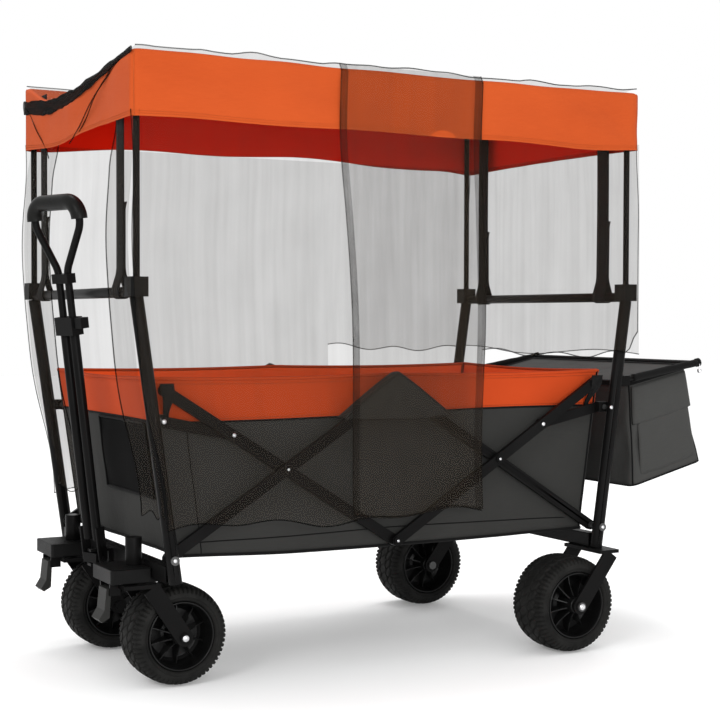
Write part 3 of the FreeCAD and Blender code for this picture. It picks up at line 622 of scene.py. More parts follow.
NET_LONG, NET_SHORT = (NET_TOP - LONG_HEM) / 1000, (NET_TOP - SHORT_HEM) / 1000
for side_name, side in SIDES.items():
    curtain, curtain_hem = side_net(f"net_{side_name}", side)
    finish_net(curtain, f"net_{side_name}", [curtain_hem])

STRIP_FRONT, STRIP_REAR = -142.0, 164.0
STRIP_BANDS = (14.0, 18.0)
STRIP_SLANT = 24.0


def doorway():
    """Overlap of the near curtain: it hangs over the valance and has a dark band down each edge."""
    top = COVER_MAX.z + 3
    plane = NET_MIN.y - 2

    def surface(x_low, x_high, out):
        def point(u, v):
            z = mix(top, LONG_HEM + 4 + 6 * math.sin(u * 7 + x_low), v)
            slant = STRIP_SLANT * smooth(1090, 420, z) * (STRIP_REAR - mix(x_low, x_high, u))
            x = mix(x_low, x_high, u) + slant / (STRIP_REAR - STRIP_FRONT) + 3 * math.sin(z / 88)
            over = smooth(top - 12, top, z)
            y = plane - out - curtain_out(x, z, 1.3) * 0.8 + over * 9 - smooth(1000, 1120, z) * 1.0
            return at(x, y, z)
        return point

    bm = bmesh.new()
    grid(bm, surface(STRIP_FRONT, STRIP_REAR, 1.0), 30, 60, (0.306, 0.83))
    cloth = to_object("net_doorway_mesh", bm, NET)
    bands = bmesh.new()
    grid(bands, surface(STRIP_FRONT, STRIP_FRONT + STRIP_BANDS[0], 2.2), 4, 60, (0.02, 0.83))
    grid(bands, surface(STRIP_REAR - STRIP_BANDS[1], STRIP_REAR, 2.2), 4, 60, (0.026, 0.83))
    bottom = surface(STRIP_FRONT, STRIP_REAR, 1.6)
    tube(bands, across(bottom, 1.0, 30), 0.0022, 6)
    for k in (0.0, 1.0):
        tube(bands, down(bottom, k, 60), 0.0012, 5)
    band = to_object("net_doorway_bands", bands, NET_BAND)
    return cloth, band


DOOR, DOOR_BANDS = doorway()
finish_net(DOOR, None, [DOOR_BANDS])


def front_net(name, low, high):
    """Half curtain across the front, open in the middle for the handle."""
    bm = bmesh.new()

    def point(u, v):
        z = mix(NET_TOP, 320 + 6 * math.sin(u * 11), v)
        y = mix(low, high, u)
        x = net_front_edge(z) - 1 + 4 * math.sin(y / 23) * smooth(NET_TOP, 800, z)
        x += 14 * smooth(NET_TOP - 90, NET_TOP, z)
        return at(x, y, z)

    grid(bm, point, 24, 40, ((high - low) / 1000, NET_LONG))
    cloth = to_object(f"{name}_mesh", bm, NET)
    hems = bmesh.new()
    tube(hems, across(point, 1.0, 24), 0.0012, 5)
    inner = 1.0 if high < 0 else 0.0
    tube(hems, down(point, inner, 40), 0.0013, 5)
    return cloth, to_object(f"{name}_hem", hems, NET_SEAM)


FRONT_GAPS = {"near": (-COVER_MAX.y, -205.0), "far": (130.0, COVER_MAX.y)}
for number, (place_name, (low, high)) in enumerate(FRONT_GAPS.items()):
    half, half_hem = front_net(f"net_front_{place_name}", low, high)
    finish_net(half, "net_front" if number == 0 else None, [half_hem],
               squashed=False)


def rear_net():
    bm = bmesh.new()

    def point(u, v):
        y = mix(-COVER_MAX.y, COVER_MAX.y, u)
        z = mix(NET_TOP, SHORT_HEM - 12 + 7 * math.sin(u * 8), v)
        x = NET_MAX.x - 3 + 3 * math.sin(y / 29) * smooth(NET_TOP, 850, z)
        return at(x, y, z)

    grid(bm, point, 44, 24, (2 * COVER_MAX.y / 1000, NET_SHORT))
    cloth = to_object("net_rear_mesh", bm, NET)
    hems = bmesh.new()
    tube(hems, across(point, 1.0, 44), 0.0012, 5)
    return cloth, to_object("net_rear_hem", hems, NET_SEAM)


REAR_NET, REAR_NET_HEM = rear_net()
finish_net(REAR_NET, "net_rear", [REAR_NET_HEM], "rear_frame", False)


def gathered_band():
    """Bunched heading of the front curtain: it sags over the front valance."""
    bm = bmesh.new()
    half = COVER_MAX.y

    def middle(y):
        share = (y + half) / (2 * half)
        return COVER_MAX.z - 5 - 24 * smooth(0.25, 0.9, share) - 32 * math.sin(share * math.pi) ** 1.2

    def point(u, v):
        y = mix(-half + 2, half - 2, v)
        share = (y + half) / (2 * half)
        depth = mix(5.0, 14.0, smooth(0.0, 0.75, share)) + waver(y, 0, 0, 60, 3)
        turn = 2 * math.pi * u
        crumple = 1 + 0.10 * math.sin(turn * 3 + y / 24) + waver(y, turn * 20, 5, 30, 0.22)
        x = COVER_MIN.x - 3 - 3.2 * crumple * (1 + math.cos(turn)) / 2
        return at(x, y, middle(y) + depth * crumple * math.sin(turn))

    grid(bm, point, 18, 130, (0.06, 0.65), wrap=True)
    band = to_object("net_gathered_heading", bm, NET_HEADING)
    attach(band, "front_frame")
    # Dark lines over the front valance for the net's hanging folds: partly the denser net of each fold,
    # partly a painted shadow that the folds cast on the valance.
    lines = bmesh.new()
    for start_y, end_y, drop in ((-262, 18, 112), (-236, -40, 96), (296, 150, 128)):
        path = []
        for k in range(17):
            share = k / 16
            y = mix(start_y, end_y, share)
            z = mix(middle(start_y) - 3, COVER_MAX.z - drop - 20, share ** 1.15)
            path.append(at(COVER_MIN.x - 5.5 + 1.5 * math.sin(share * 9), y + 4 * math.sin(share * 6), z))
        tube(lines, path, 0.0013, 5)
    creases = to_object("net_heading_folds_and_painted_shadow", lines, NET_SEAM)
    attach(creases, "front_frame")


gathered_band()


def net_over_top():
    """The net's own top, lying crumpled on the canopy and standing a little proud of its edges."""
    bm = bmesh.new()

    def point(u, v):
        x, y = mix(COVER_MIN.x + 2, COVER_MAX.x - 2, u), mix(COVER_MIN.y + 1, COVER_MAX.y - 1, v)
        rim = max(abs(x) / COVER_MAX.x, abs(y) / COVER_MAX.y)
        lift = 2.5 + max(0.0, waver(x, y, 3, 70, 9)) * smooth(0.75, 0.98, rim)
        return at(x, y, canopy_top(x, y) + lift)

    grid(bm, point, 90, 54, (1.07, 0.64))
    cloth = to_object("net_top_mesh", bm, NET)
    edges = bmesh.new()
    for v in (0.0, 1.0):
        tube(edges, [point(k / 90, v) + Vector((0, 0, 0.0006)) for k in range(91)], 0.0012, 5)
    edge = to_object("net_top_edge", edges, NET_SEAM)
    return cloth, edge


TOP_NET, TOP_EDGE = net_over_top()
finish_net(TOP_NET, None, [TOP_EDGE])

# ---- tub -------------------------------------------------------------------------------------

TUB_X = SIDE_MAX.x
RIM = SIDE_MAX.z
SIDE_Y = (abs(SIDE_MIN.y) + abs(SIDE_MAX.y)) / 2


def tub_reach(z):
    """How far the end walls are from the middle at a height."""
    return TUB_X - (RIM - z) * (TUB_X - FLOOR_MAX.x - 5) / (RIM - SIDE_MIN.z)


def band_line(x):
    """Height of the seam between the grey and orange cloth."""
    return 486 + 6 * x / TUB_X + 2 * math.sin(x / 120)


def tub_bottom(x):
    return 241 - 6 * math.cos(x / TUB_X * 1.5) + 5 * smooth(200, 440, -x)


GREY_ROWS, ORANGE_ROWS = 22, 8


def tub_height(u, v):
    """Height on a side wall, rows matched to the band seam."""
    rows = GREY_ROWS + ORANGE_ROWS
    row = v * rows
    rough_x = mix(-1, 1, u) * FLOOR_MAX.x
    if row <= GREY_ROWS:
        return mix(tub_bottom(rough_x), band_line(rough_x), row / GREY_ROWS)
    # The rim dips between its fixings at the corners and in the middle.
    towards_middle = u * 2 if u < 0.5 else 2 - u * 2
    rim = RIM - 3.5 * math.sin(math.pi * towards_middle) * (abs(u - 0.5) > 0.02)
    return mix(band_line(rough_x), rim, (row - GREY_ROWS) / ORANGE_ROWS)


def side_point(side, u, v):
    z = tub_height(u, v)
    x = mix(-1, 1, u) * (tub_reach(max(z, SIDE_MIN.z)) - 1.5)
    share = (z - SIDE_MIN.z) / (RIM - SIDE_MIN.z)
    hold = 1 - math.exp(-((TUB_X - abs(x)) / 60) ** 2)
    belly = 3.0 * math.sin(math.pi * min(max(share, 0), 1)) * hold
    crumple = waver(x, side * 300, z, 130, 4.5) + waver(x, side * 300, z * 2, 45, 1.6)
    inward = max(belly + crumple * hold - 2.2, -1.8)
    return at(x, side * (SIDE_Y - inward), z)


def tub_side(name, side):
    bm = bmesh.new()
    rows = GREY_ROWS + ORANGE_ROWS
    size = (2 * TUB_X / 1000, (RIM - SIDE_MIN.z + 14) / 1000)
    grid(bm, lambda u, v: side_point(side, u, v), 110, rows, size, lambda u, v: int(v * rows > GREY_ROWS))
    made = to_object(f"{name}_cloth", bm, [TUB_GREY, TUB_ORANGE, TUB_GREY, TUB_ORANGE_INSIDE_PAINTED_LIGHT])
    # The inner face takes the brighter orange copy, which is painted light.
    thick(made, 1.6, 0, 2)
    trim = bmesh.new()
    seam = GREY_ROWS / rows
    lines = [([(k / 110, seam) for k in range(111)], 0.0021), ([(k / 110, 0.0) for k in range(111)], 0.0030),
             ([(k / 110, 0.055 + 0.045 * (1 - abs(2 * k / 110 - 1)) ** 0.5) for k in range(5, 106)], 0.0012),
             ([(0.065, k / rows) for k in range(GREY_ROWS + 1)], 0.0011),
             ([(0.004, k / rows) for k in range(rows + 1)], 0.0022),
             ([(0.996, k / rows) for k in range(rows + 1)], 0.0022)]
    for places, radius in lines:
        path = [side_point(side, u, v) + Vector((0, side * 0.0009, 0)) for u, v in places]
        tube(trim, path, radius, 7)
    piping = to_object(f"{name}_piping", trim, PIPING)
    hem = bmesh.new()
    tube(hem, [side_point(side, k / 110, 1.0) - Vector((0, 0, 0.001)) for k in range(111)], 0.0032, 10)
    rim = to_object(f"{name}_rim", hem, TUB_ORANGE)
    sewing = bmesh.new()
    for v in (seam + 0.02, 0.965):
        stitches(sewing, [side_point(side, k / 110, v) + Vector((0, side * 0.0011, 0)) for k in range(111)],
                 0.005, 0.003)
    sewn = to_object(f"{name}_stitching", sewing, THREAD_DARK)
    for each in (made, piping, rim, sewn):
        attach(each, "front_frame")
        fold_squash(each)
    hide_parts(name)


for side_name, side in SIDES.items():
    tub_side(f"tub_side_{side_name}", side)

END_HALF = abs(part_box("tub_front_wall")[0].y) * 1000


def end_point(end, u, v, out=0.0):
    z = mix(SIDE_MIN.z, RIM, v)
    y = mix(-END_HALF, END_HALF, u)
    sag = 5 * math.sin(math.pi * u) * smooth(0.75, 1.0, v)
    hold = math.sin(math.pi * u) ** 0.5
    near_rim = 1 - smooth(0.9, 1, v) * 0.6
    belly = hold * (waver(end * 400, y, z, 90, 5) + 2.5 * math.sin(math.pi * v)) * near_rim
    x = tub_reach(z) - 2.5 - belly + out
    return at(end * x, y, z - sag)


def tub_end(name, end, body):
    """End wall: grey below, an orange band above, piping along its seams."""
    bm = bmesh.new()
    rows, seam_row = 28, 21
    size = (2 * END_HALF / 1000, (RIM - SIDE_MIN.z) / 1000)
    grid(bm, lambda u, v: end_point(end, u, v), 50, rows, size, lambda u, v: int(v * rows > seam_row))
    made = to_object(f"{name}_cloth", bm, [TUB_GREY, TUB_ORANGE, TUB_GREY, TUB_ORANGE_INSIDE_PAINTED_LIGHT])
    # The inner face takes the brighter orange copy, which is painted light.
    thick(made, 1.6, 0, 2)
    trim = bmesh.new()
    for v, radius in ((0.0, 0.0032), (seam_row / rows, 0.0020)):
        tube(trim, [end_point(end, k / 50, v, 1.0) for k in range(51)], radius, 7)
    for u in (0.0, 1.0):
        tube(trim, [end_point(end, u, k / rows, 0.5) for k in range(rows + 1)], 0.0022, 7)
    piping = to_object(f"{name}_piping", trim, PIPING)
    hem = bmesh.new()
    tube(hem, [end_point(end, k / 50, 1.0) for k in range(51)], 0.0030, 10)
    rim = to_object(f"{name}_rim", hem, TUB_ORANGE)
    for each in (made, piping, rim):
        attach(each, body)
    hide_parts(name)


tub_end("tub_front_wall", -1, "front_frame")
tub_end("tub_rear_wall", 1, "rear_frame")


def front_pocket():
    """Dark mesh pocket with a bound edge on the front wall."""
    bm = bmesh.new()
    low_u, high_u, low_v, high_v = 0.07, 0.56, 0.30, 0.735

    def point(u, v, out):
        puff = math.sin(math.pi * u) ** 0.6 * math.sin(math.pi * min(1, v * 1.15)) * 9
        return end_point(-1, mix(low_u, high_u, u), mix(low_v, high_v, v), out + puff)

    grid(bm, lambda u, v: point(u, v, 3), 30, 22, (0.25, 0.135))
    net = to_object("front_pocket_mesh", bm, POCKET_MESH)
    thick(net, 0.8)
    trim = bmesh.new()
    border = [(k / 20, 1) for k in range(21)] + [(1, 1 - k / 12) for k in range(1, 13)]
    border += [(1 - k / 20, 0) for k in range(1, 21)] + [(0, k / 12) for k in range(1, 12)]
    tube(trim, [point(u, v, 4) for u, v in border], 0.0026, 7, closed=True)
    edge = to_object("front_pocket_trim", trim, PIPING)
    for each in (net, edge):
        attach(each, "front_frame")


front_pocket()


def tub_floor():
    """Padded floor board: crowned, with a rounded edge."""
    bm = bmesh.new()
    half_x, half_y = FLOOR_MAX.x - 1, FLOOR_MAX.y - 1
    top, bottom = FLOOR_MAX.z, FLOOR_MIN.z
    insets = [half_y, half_y * 0.8, half_y * 0.55, half_y * 0.3, 40, 18, 6, 1.5, 0,
              0, 1.5, 6, 40, half_y * 0.5, half_y]
    heights = [1, 1, 1, 1, 1, 0.98, 0.9, 0.75, 0.55, 0.35, 0.15, 0.05, 0, 0, 0]
    count = len(rounded_loop(half_x, half_y, 12, (30, 18), 4))

    def point(u, v):
        row = round(v * (len(insets) - 1))
        ring = rounded_loop(half_x - insets[row], half_y - insets[row], 12, (30, 18), 4)
        place, out = ring[round(u * count) % count]
        lift = 0.6 * math.cos(place.x / 75) if heights[row] == 1 else 0
        return at(place.x, place.y, mix(bottom, top, heights[row]) + lift - 0.6 * (heights[row] == 1))

    grid(bm, point, count, len(insets) - 1, (2.8, 0.55), wrap=True)
    made = to_object("tub_floor_board", welded(bm, 0.0004), TUB_GREY)
    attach(made, "front_frame")
    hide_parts("tub_floor")
    fold_squash(made)


tub_floor()
PEAK_HALF, PEAK_TOP, PEAK_LOW = 117.0, 567.0, 482.0


def peak_cover(name, side):
    """Cloth tent over the middle pivot, sewn to the rim behind it."""
    bm = bmesh.new()
    inner, outer = SIDE_Y + 3.5, 291.5

    def ridge(u):
        return PEAK_TOP - (PEAK_TOP - PEAK_LOW - 2) * abs(u) ** 1.08

    def point(u, v):
        s = 2 * u - 1
        top = ridge(s)
        low = PEAK_LOW - 5 * math.cos(s * math.pi / 2) * (1 + 0.3 * math.sin(5 * s))
        if v < 0.3:
            share = v / 0.3
            y, z = mix(inner, outer - 4, share), top - 3 * (1 - share) ** 2
        elif v < 0.42:
            turn = (v - 0.3) / 0.12 * math.pi / 2
            y, z = outer - 4 + 4 * math.sin(turn), top - 4 * (1 - math.cos(turn))
        else:
            share = (v - 0.42) / 0.58
            crease = 2.2 * math.exp(-((s - 0.15 + 0.5 * share) / 0.08) ** 2)
            crease += waver(s * 90, 7, share * 70, 30, 2)
            y, z = outer + 0.6 + crease * math.sin(math.pi * share), mix(top - 4, low, share)
        return at(s * PEAK_HALF, side * y, z)

    grid(bm, point, 48, 36, (0.25, 0.13))
    made = to_object(f"{name}_cloth", bm, TUB_GREY)
    thick(made, 1.2)
    hem = bmesh.new()
    tube(hem, across(point, 1.0, 48), 0.0013, 6)
    tube(hem, across(point, 0.42, 48), 0.0011, 6)
    tube(hem, [point(0.56 + 0.02 * math.sin(k), 0.42 + 0.58 * k / 12) for k in range(13)], 0.0008, 5)
    seam = to_object(f"{name}_seams", hem, PIPING)
    for each in (made, seam):
        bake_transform(each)


for side_name, side in SIDES.items():
    peak_cover(f"peak_cover_{side_name}", side)


def corner_tab(name, side, end, body):
    """Webbing that ties the top of a brace to the corner of the tub."""
    bm = bmesh.new()
    top_x, top_z, low_x, low_z = 467.0, 553.0, 458.0, 492.0

    def point(u, v):
        half = mix(13.0, 5.0, smooth(0.05, 1.0, v))
        x = mix(top_x, low_x, v) + (u - 0.5) * 2 * half
        y = mix(288.5, 262.5, smooth(0.25, 1.0, v)) + 1.5 * math.sin(3 * v)
        return at(end * x, side * y, mix(top_z, low_z, v))

    grid(bm, point, 6, 20, (0.025, 0.075))
    made = thick(to_object(name, bm, WEBBING), 2.0)
    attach(made, body)


for side_name, side in SIDES.items():
    corner_tab(f"corner_tab_front_{side_name}", side, -1, "front_braces")
    corner_tab(f"corner_tab_rear_{side_name}", side, 1, "rear_braces")

# ---- canopy straps ---------------------------------------------------------------------------

STRAP_SPREAD = 42.0
STRAP_WIDTH = 38.0
STRAP_PLACE_Y = 225.0


def strap(name, end, side, body):
    """Webbing from the canopy round the top bar and back up on itself."""
    bm = bmesh.new()
    bar_x, bar_z = end * (BAR_MIN.x + BAR_MAX.x) / -2, (BAR_MIN.z + BAR_MAX.z) / 2
    around = (BAR_MAX.x - BAR_MIN.x) / 2 + 1.6
    middle_y = side * STRAP_PLACE_Y
    path = [(bar_x - 2.0, COVER_MAX.z - 14)]
    for k in range(1, 12):
        z = mix(COVER_MAX.z - 14, bar_z + STRAP_SPREAD, k / 11)
        path.append((bar_x - 1.6, z))
    for k in range(1, 5):
        inward = (around - 1.6) * smooth(0, 4, k)
        path.append((bar_x - 1.6 - inward, bar_z + STRAP_SPREAD - STRAP_SPREAD * k / 4))
    for k in range(1, 12):
        turn = math.pi + math.pi * k / 12
        path.append((bar_x + around * math.cos(turn), bar_z + around * math.sin(turn)))
    for k in range(5):
        path.append((bar_x + 1.0 + (around - 1.0) * (1 - smooth(0, 4, k)), bar_z + STRAP_SPREAD * k / 4))
    for k in range(1, 10):
        path.append((bar_x + 0.9 + (2.5 if k == 9 else 0), bar_z + STRAP_SPREAD + 116 * k / 9))

    def point(u, v):
        x, z = path[round(v * (len(path) - 1))]
        bow = 3.0 * math.sin((z - bar_z) / 400 * math.pi) * side
        return at(x + 0.25 * bow, middle_y + (u - 0.5) * STRAP_WIDTH + bow, z)

    grid(bm, point, 4, len(path) - 1, (STRAP_WIDTH / 1000, 0.66))
    made = thick(to_object(name, bm, WEBBING), 1.3)
    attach(made, body)
    return made


for end_name, end in (("front", -1), ("rear", 1)):
    straps = [strap(f"{end_name}_strap_{side_name}", end, side, f"{end_name}_frame")
              for side_name, side in SIDES.items()]
    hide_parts(f"{end_name}_canopy_straps")

# ---- rear storage bag ------------------------------------------------------------------------

BAG_FRONT_TOP, BAG_REAR_TOP = (555.0, 531.0), (708.0, 565.0)
BAG_FRONT_LOW, BAG_REAR_LOW = (567.0, 320.0), (752.0, 367.0)
BAG_HALF = BAG_MAX.y


def bag_place(along, y, down):
    """Point of the bag's block: along runs front to rear, down from the rim to the floor."""
    front = (mix(BAG_FRONT_TOP[0], BAG_FRONT_LOW[0], down), mix(BAG_FRONT_TOP[1], BAG_FRONT_LOW[1], down))
    rear = (mix(BAG_REAR_TOP[0], BAG_REAR_LOW[0], down), mix(BAG_REAR_TOP[1], BAG_REAR_LOW[1], down))
    return mix(front[0], rear[0], along), y, mix(front[1], rear[1], along)


def storage_bag():
    """Open-topped shell with soft corners, a little slack in its walls and a sagging floor."""
    half_along, half_y = 0.5, BAG_HALF - 1
    bm = bmesh.new()
    loop = rounded_loop(90, half_y, 16, (18, 46), 4)
    count = len(loop)
    wall_rows, floor_rows = 22, 8

    def point(u, v):
        place, out = loop[round(u * count) % count]
        row = v * (wall_rows + floor_rows)
        down = min(1.0, row / wall_rows)
        shrink = max(0.0, (row - wall_rows) / floor_rows)
        along = place.x / 90 * half_along * (1 - shrink) + 0.5
        y = place.y * (1 - shrink * 0.96)
        x, y, z = bag_place(along, y, down)
        slack = math.sin(math.pi * down) * (1 if not shrink else 0)
        rough = waver(x, y, z, 85, 7) + waver(x, y * 1.5, z, 34, 2.5)
        side_pull = -5 if abs(out.y) > 0.7 else -3
        x += out.x * (slack * (rough + side_pull))
        y += out.y * (slack * (rough * 0.6 + side_pull))
        z -= 7 * math.sin(math.pi * min(1, shrink)) * 0.6
        z -= 4 * slack * math.exp(-((abs(y) - half_y) / 80) ** 2) * 0.5
        return at(x, y, z)

    grid(bm, point, count, wall_rows + floor_rows, (1.5, 0.33), wrap=True)
    bag = thick(to_object("storage_bag_shell", welded(bm, 0.0005), BAG_GREY), 1.8, -1.0)
    trim = bmesh.new()
    around = [k / count for k in range(count)]
    tube(trim, [point(u, 0.0) for u in around], 0.0030, 7, closed=True)
    tube(trim, [point(u, wall_rows / (wall_rows + floor_rows)) for u in around], 0.0019, 7, closed=True)
    for place_number, (_, out) in enumerate(loop):
        turn = math.degrees(math.atan2(out.y, out.x)) % 90
        if abs(turn - 45) < 6 and place_number % 2 == 0:
            u = place_number / count
            tube(trim, [point(u, k / (wall_rows + floor_rows)) for k in range(wall_rows + 1)], 0.0017, 6)
    piping = to_object("storage_bag_piping", trim, PIPING)
    return bag, piping


def bag_flap(side):
    """Pocket on the bag's end face under a flap, both sewn on."""
    bm = bmesh.new()

    def point(low_a, high_a, low_d, high_d, lift):
        def place(u, v):
            x, y, z = bag_place(mix(low_a, high_a, u), 0, mix(low_d, high_d, v))
            puff = lift * math.sin(math.pi * u) ** 0.4 * math.sin(math.pi * (0.12 + 0.8 * v)) + 1.2
            out = BAG_HALF - 4.5 + puff + waver(x, 0, z, 30, 1.2)
            return at(x, side * out, z - 2.5 * math.sin(math.pi * u) * v)
        return place

    pocket = point(0.13, 0.93, 0.20, 0.92, 3.0)
    flap = point(0.05, 0.97, 0.03, 0.40, 8.5)
    grid(bm, pocket, 24, 20, (0.14, 0.15))
    made = thick(to_object(f"bag_pocket_{NEARNESS[side]}", bm, BAG_GREY), 1.4, 1.0)
    over = bmesh.new()
    grid(over, flap, 24, 14, (0.15, 0.08))
    lid = thick(to_object(f"bag_flap_{NEARNESS[side]}", over, BAG_GREY), 2.2, 1.0)
    trim = bmesh.new()
    border = [(0, k / 10) for k in range(10)] + [(k / 20, 1) for k in range(20)]
    border += [(1, 1 - k / 10) for k in range(11)]
    tube(trim, [flap(u, v) for u, v in border], 0.0015, 6)
    stitches(trim, [flap(0.04, 0.06), flap(0.96, 0.06)], 0.005, 0.0035)
    edge = to_object(f"bag_flap_binding_{NEARNESS[side]}", trim, PIPING)
    return [made, lid, edge]


BAG, BAG_PIPING = storage_bag()
BAG_POCKETS = [piece for side in SIDES.values() for piece in bag_flap(side)]
for each in (BAG, BAG_PIPING, *BAG_POCKETS):
    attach(each, "rear_frame")
    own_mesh(each)
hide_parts("storage_bag")


def bag_lid():
    """Stiffened lid: lightly dished, with bound edges."""
    bm = bmesh.new()

    def point(u, v):
        y = mix(-BAG_HALF + 2, BAG_HALF - 2, u)
        x = mix(BAG_FRONT_TOP[0] + 1, BAG_REAR_TOP[0] - 1, v)
        z = mix(BAG_FRONT_TOP[1], BAG_REAR_TOP[1], v) + 4.5
        dish = -2.0 * math.sin(math.pi * u) * math.sin(math.pi * v)
        return at(x, y, z + dish + waver(x, y, 0, 70, 2.0) * math.sin(math.pi * u) * math.sin(math.pi * v))

    grid(bm, point, 60, 20, (0.56, 0.16))
    lid = thick(to_object("bag_lid_cloth", bm, BAG_GREY), 2.4)
    trim = bmesh.new()
    border = [(k / 40, 0) for k in range(40)] + [(1, k / 12) for k in range(12)]
    border += [(1 - k / 40, 1) for k in range(40)] + [(0, 1 - k / 12) for k in range(12)]
    tube(trim, [point(u, v) for u, v in border], 0.0036, 8, closed=True)
    inner = [(mix(0.02, 0.98, u), mix(0.06, 0.94, v)) for u, v in border]
    stitches(trim, [point(u, v) + Vector((0, 0, 0.0014)) for u, v in inner], 0.006, 0.004)
    binding = to_object("bag_lid_binding", trim, PIPING)
    for each in (lid, binding):
        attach(each, "bag_cover")
    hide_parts("bag_lid")


bag_lid()


def pull_ball():
    """Small metal pull on the end of the bag's frame."""
    bm = bmesh.new()
    low, high = mm_box("bag_frame")
    centre = at(high.x - 6, low.y + 1.5, high.z - 21)
    bmesh.ops.create_uvsphere(bm, u_segments=16, v_segments=12, radius=0.0052,
                              matrix=Matrix.Translation(centre))
    tube(bm, [centre, centre + Vector((0, 0, 0.014))], 0.0014, 6)
    ball = to_object("bag_pull", bm, ZINC)
    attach(ball, "bag_support")


pull_ball()


def arm_sleeve(side):
    """Cloth sleeve round the arm that holds the bag open, with a rounded end cap."""
    bm = bmesh.new()
    start, end = Vector((552, 295.6, 546.1)), Vector((724, 292.0, 575.3))
    path = [start.lerp(end, k / 24) for k in range(25)]
    tube(bm, [at(p.x, side * p.y, p.z + waver(p.x, 0, 0, 22, 1.0)) for p in path], 0.0078, 14)
    tip = (path[-1] - path[0]).normalized() * 7
    tube(bm, [at(p.x, side * p.y, p.z) for p in (path[-1], path[-1] + tip)], 0.0092, 16)
    sleeve = to_object(f"bag_arm_sleeve_{NEARNESS[side]}", bm, PIPING)
    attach(sleeve, "bag_support")


for side in SIDES.values():
    arm_sleeve(side)

# ---- wheels ----------------------------------------------------------------------------------
# Outlines are (radius, y) in millimetres, drawn for a tread radius of TREAD_RADIUS.

TREAD_RADIUS = 89.0
TREAD_PITCHES = 30
BORE_RADIUS = 62.0
BARREL_RADIUS = 20.0
HUB_RIBS = 10
HUB_PROFILE = [(61.6, -44.5), (60.5, -47.2), (58.4, -47.6), (57.2, -45), (56.4, -38), (54.0, -22), (50.0, -9),
               (46, -6), (44, -4.5), (24, -4.0), (19, -6), (17.5, -12), (16.2, -40), (15.0, -48), (13.5, -49),
               (5.4, -49)]
RIB_OUTLINE = [(17, 5), (17, 38), (22, 33), (36, 24), (53.5, 20), (54.4, 5)]


def turned(bm, profile, segments, wobble=None):
    """Surface of revolution about Y, from (radius, y) pairs in millimetres."""
    cloth = bm.loops.layers.uv.verify()
    rings = []
    for k in range(segments):
        turn = 2 * math.pi * k / segments
        ring = []
        for radius, y in profile:
            r = radius - (wobble(turn, y, radius) if wobble else 0)
            ring.append(bm.verts.new(Vector((r * math.sin(turn), y, r * math.cos(turn))) / 1000))
        rings.append(ring)
    for k in range(segments):
        first, second = rings[k], rings[(k + 1) % segments]
        for j in range(len(profile) - 1):
            face = bm.faces.new([first[j], first[j + 1], second[j + 1], second[j]])
            for loop, (a, b) in zip(face.loops, ((k, j), (k, j + 1), (k + 1, j + 1), (k + 1, j))):
                loop[cloth].uv = (a / segments * 0.55, b / len(profile) * 0.2)


def triangle_wave(value):
    return abs((value % 1.0) * 2 - 1) * 2 - 1


def tread(turn, y, radius):
    """Depth cut from the tyre's face: three zigzag grooves, slanted cross grooves, shoulder lugs."""
    if radius < 78:
        ring = math.exp(-((radius - 70.5) / 0.9) ** 2) * 0.9
        lug = 0.6 * (math.sin(turn * 60) > 0.2) * smooth(74, 77, radius)
        return ring + lug
    pitch = 2 * math.pi / TREAD_PITCHES
    phase = turn / pitch
    zigzag = 2.4 * triangle_wave(phase)
    depth = 0.0
    for centre, width in ((-13.0, 1.7), (13.0, 1.7), (-31.0, 2.0), (31.0, 2.0)):
        from_groove = abs(y - centre - zigzag * math.copysign(1, centre))
        depth = max(depth, 4.0 * smooth(width + 0.9, width - 0.5, from_groove))
    width_y = abs(y)
    if width_y < 11:
        cross = abs(((phase + y / 36) % 1.0) - 0.5) * pitch * TREAD_RADIUS
        depth = max(depth, 1.8 * smooth(1.5, 0.5, cross))
    elif width_y < 31:
        cross = abs(((phase + math.copysign(width_y, y) / 30) % 1.0) - 0.5) * pitch * TREAD_RADIUS
        depth = max(depth, 3.2 * smooth(2.0, 0.9, cross))
    else:
        cross = abs(((phase * 2.0 + 0.25) % 1.0) - 0.5) * pitch / 2 * TREAD_RADIUS
        depth = max(depth, 3.6 * smooth(2.4, 1.2, cross))
    return depth


def tyre_profile(half, outer, bore):
    """From bore edge to bore edge over the tread, with close rows where the tread is cut."""
    points = [(bore, -half + 6), (bore + 1.5, -half + 2.5), (bore + 4, -half + 0.8), (bore + 7, -half + 0.3),
              (69.0, -half + 0.2), (70.5, -half + 0.2), (72, -half + 0.3), (75, -half + 0.8)]
    shoulder = [(77.5, -half + 1.8), (80.0, -half + 3.2), (82.3, -half + 5.2), (84.2, -half + 7.6)]
    rows = [-42, -40, -38, *range(-36, 37), 38, 40, 42]
    crown = []
    for y in rows:
        crown.append((outer - 4.5 * (abs(y) / 43) ** 4 - 0.6 * (abs(y) / 43) ** 2, float(y)))
    left = points + shoulder
    right = [(r, -y) for r, y in reversed(left)]
    return left + crown + right


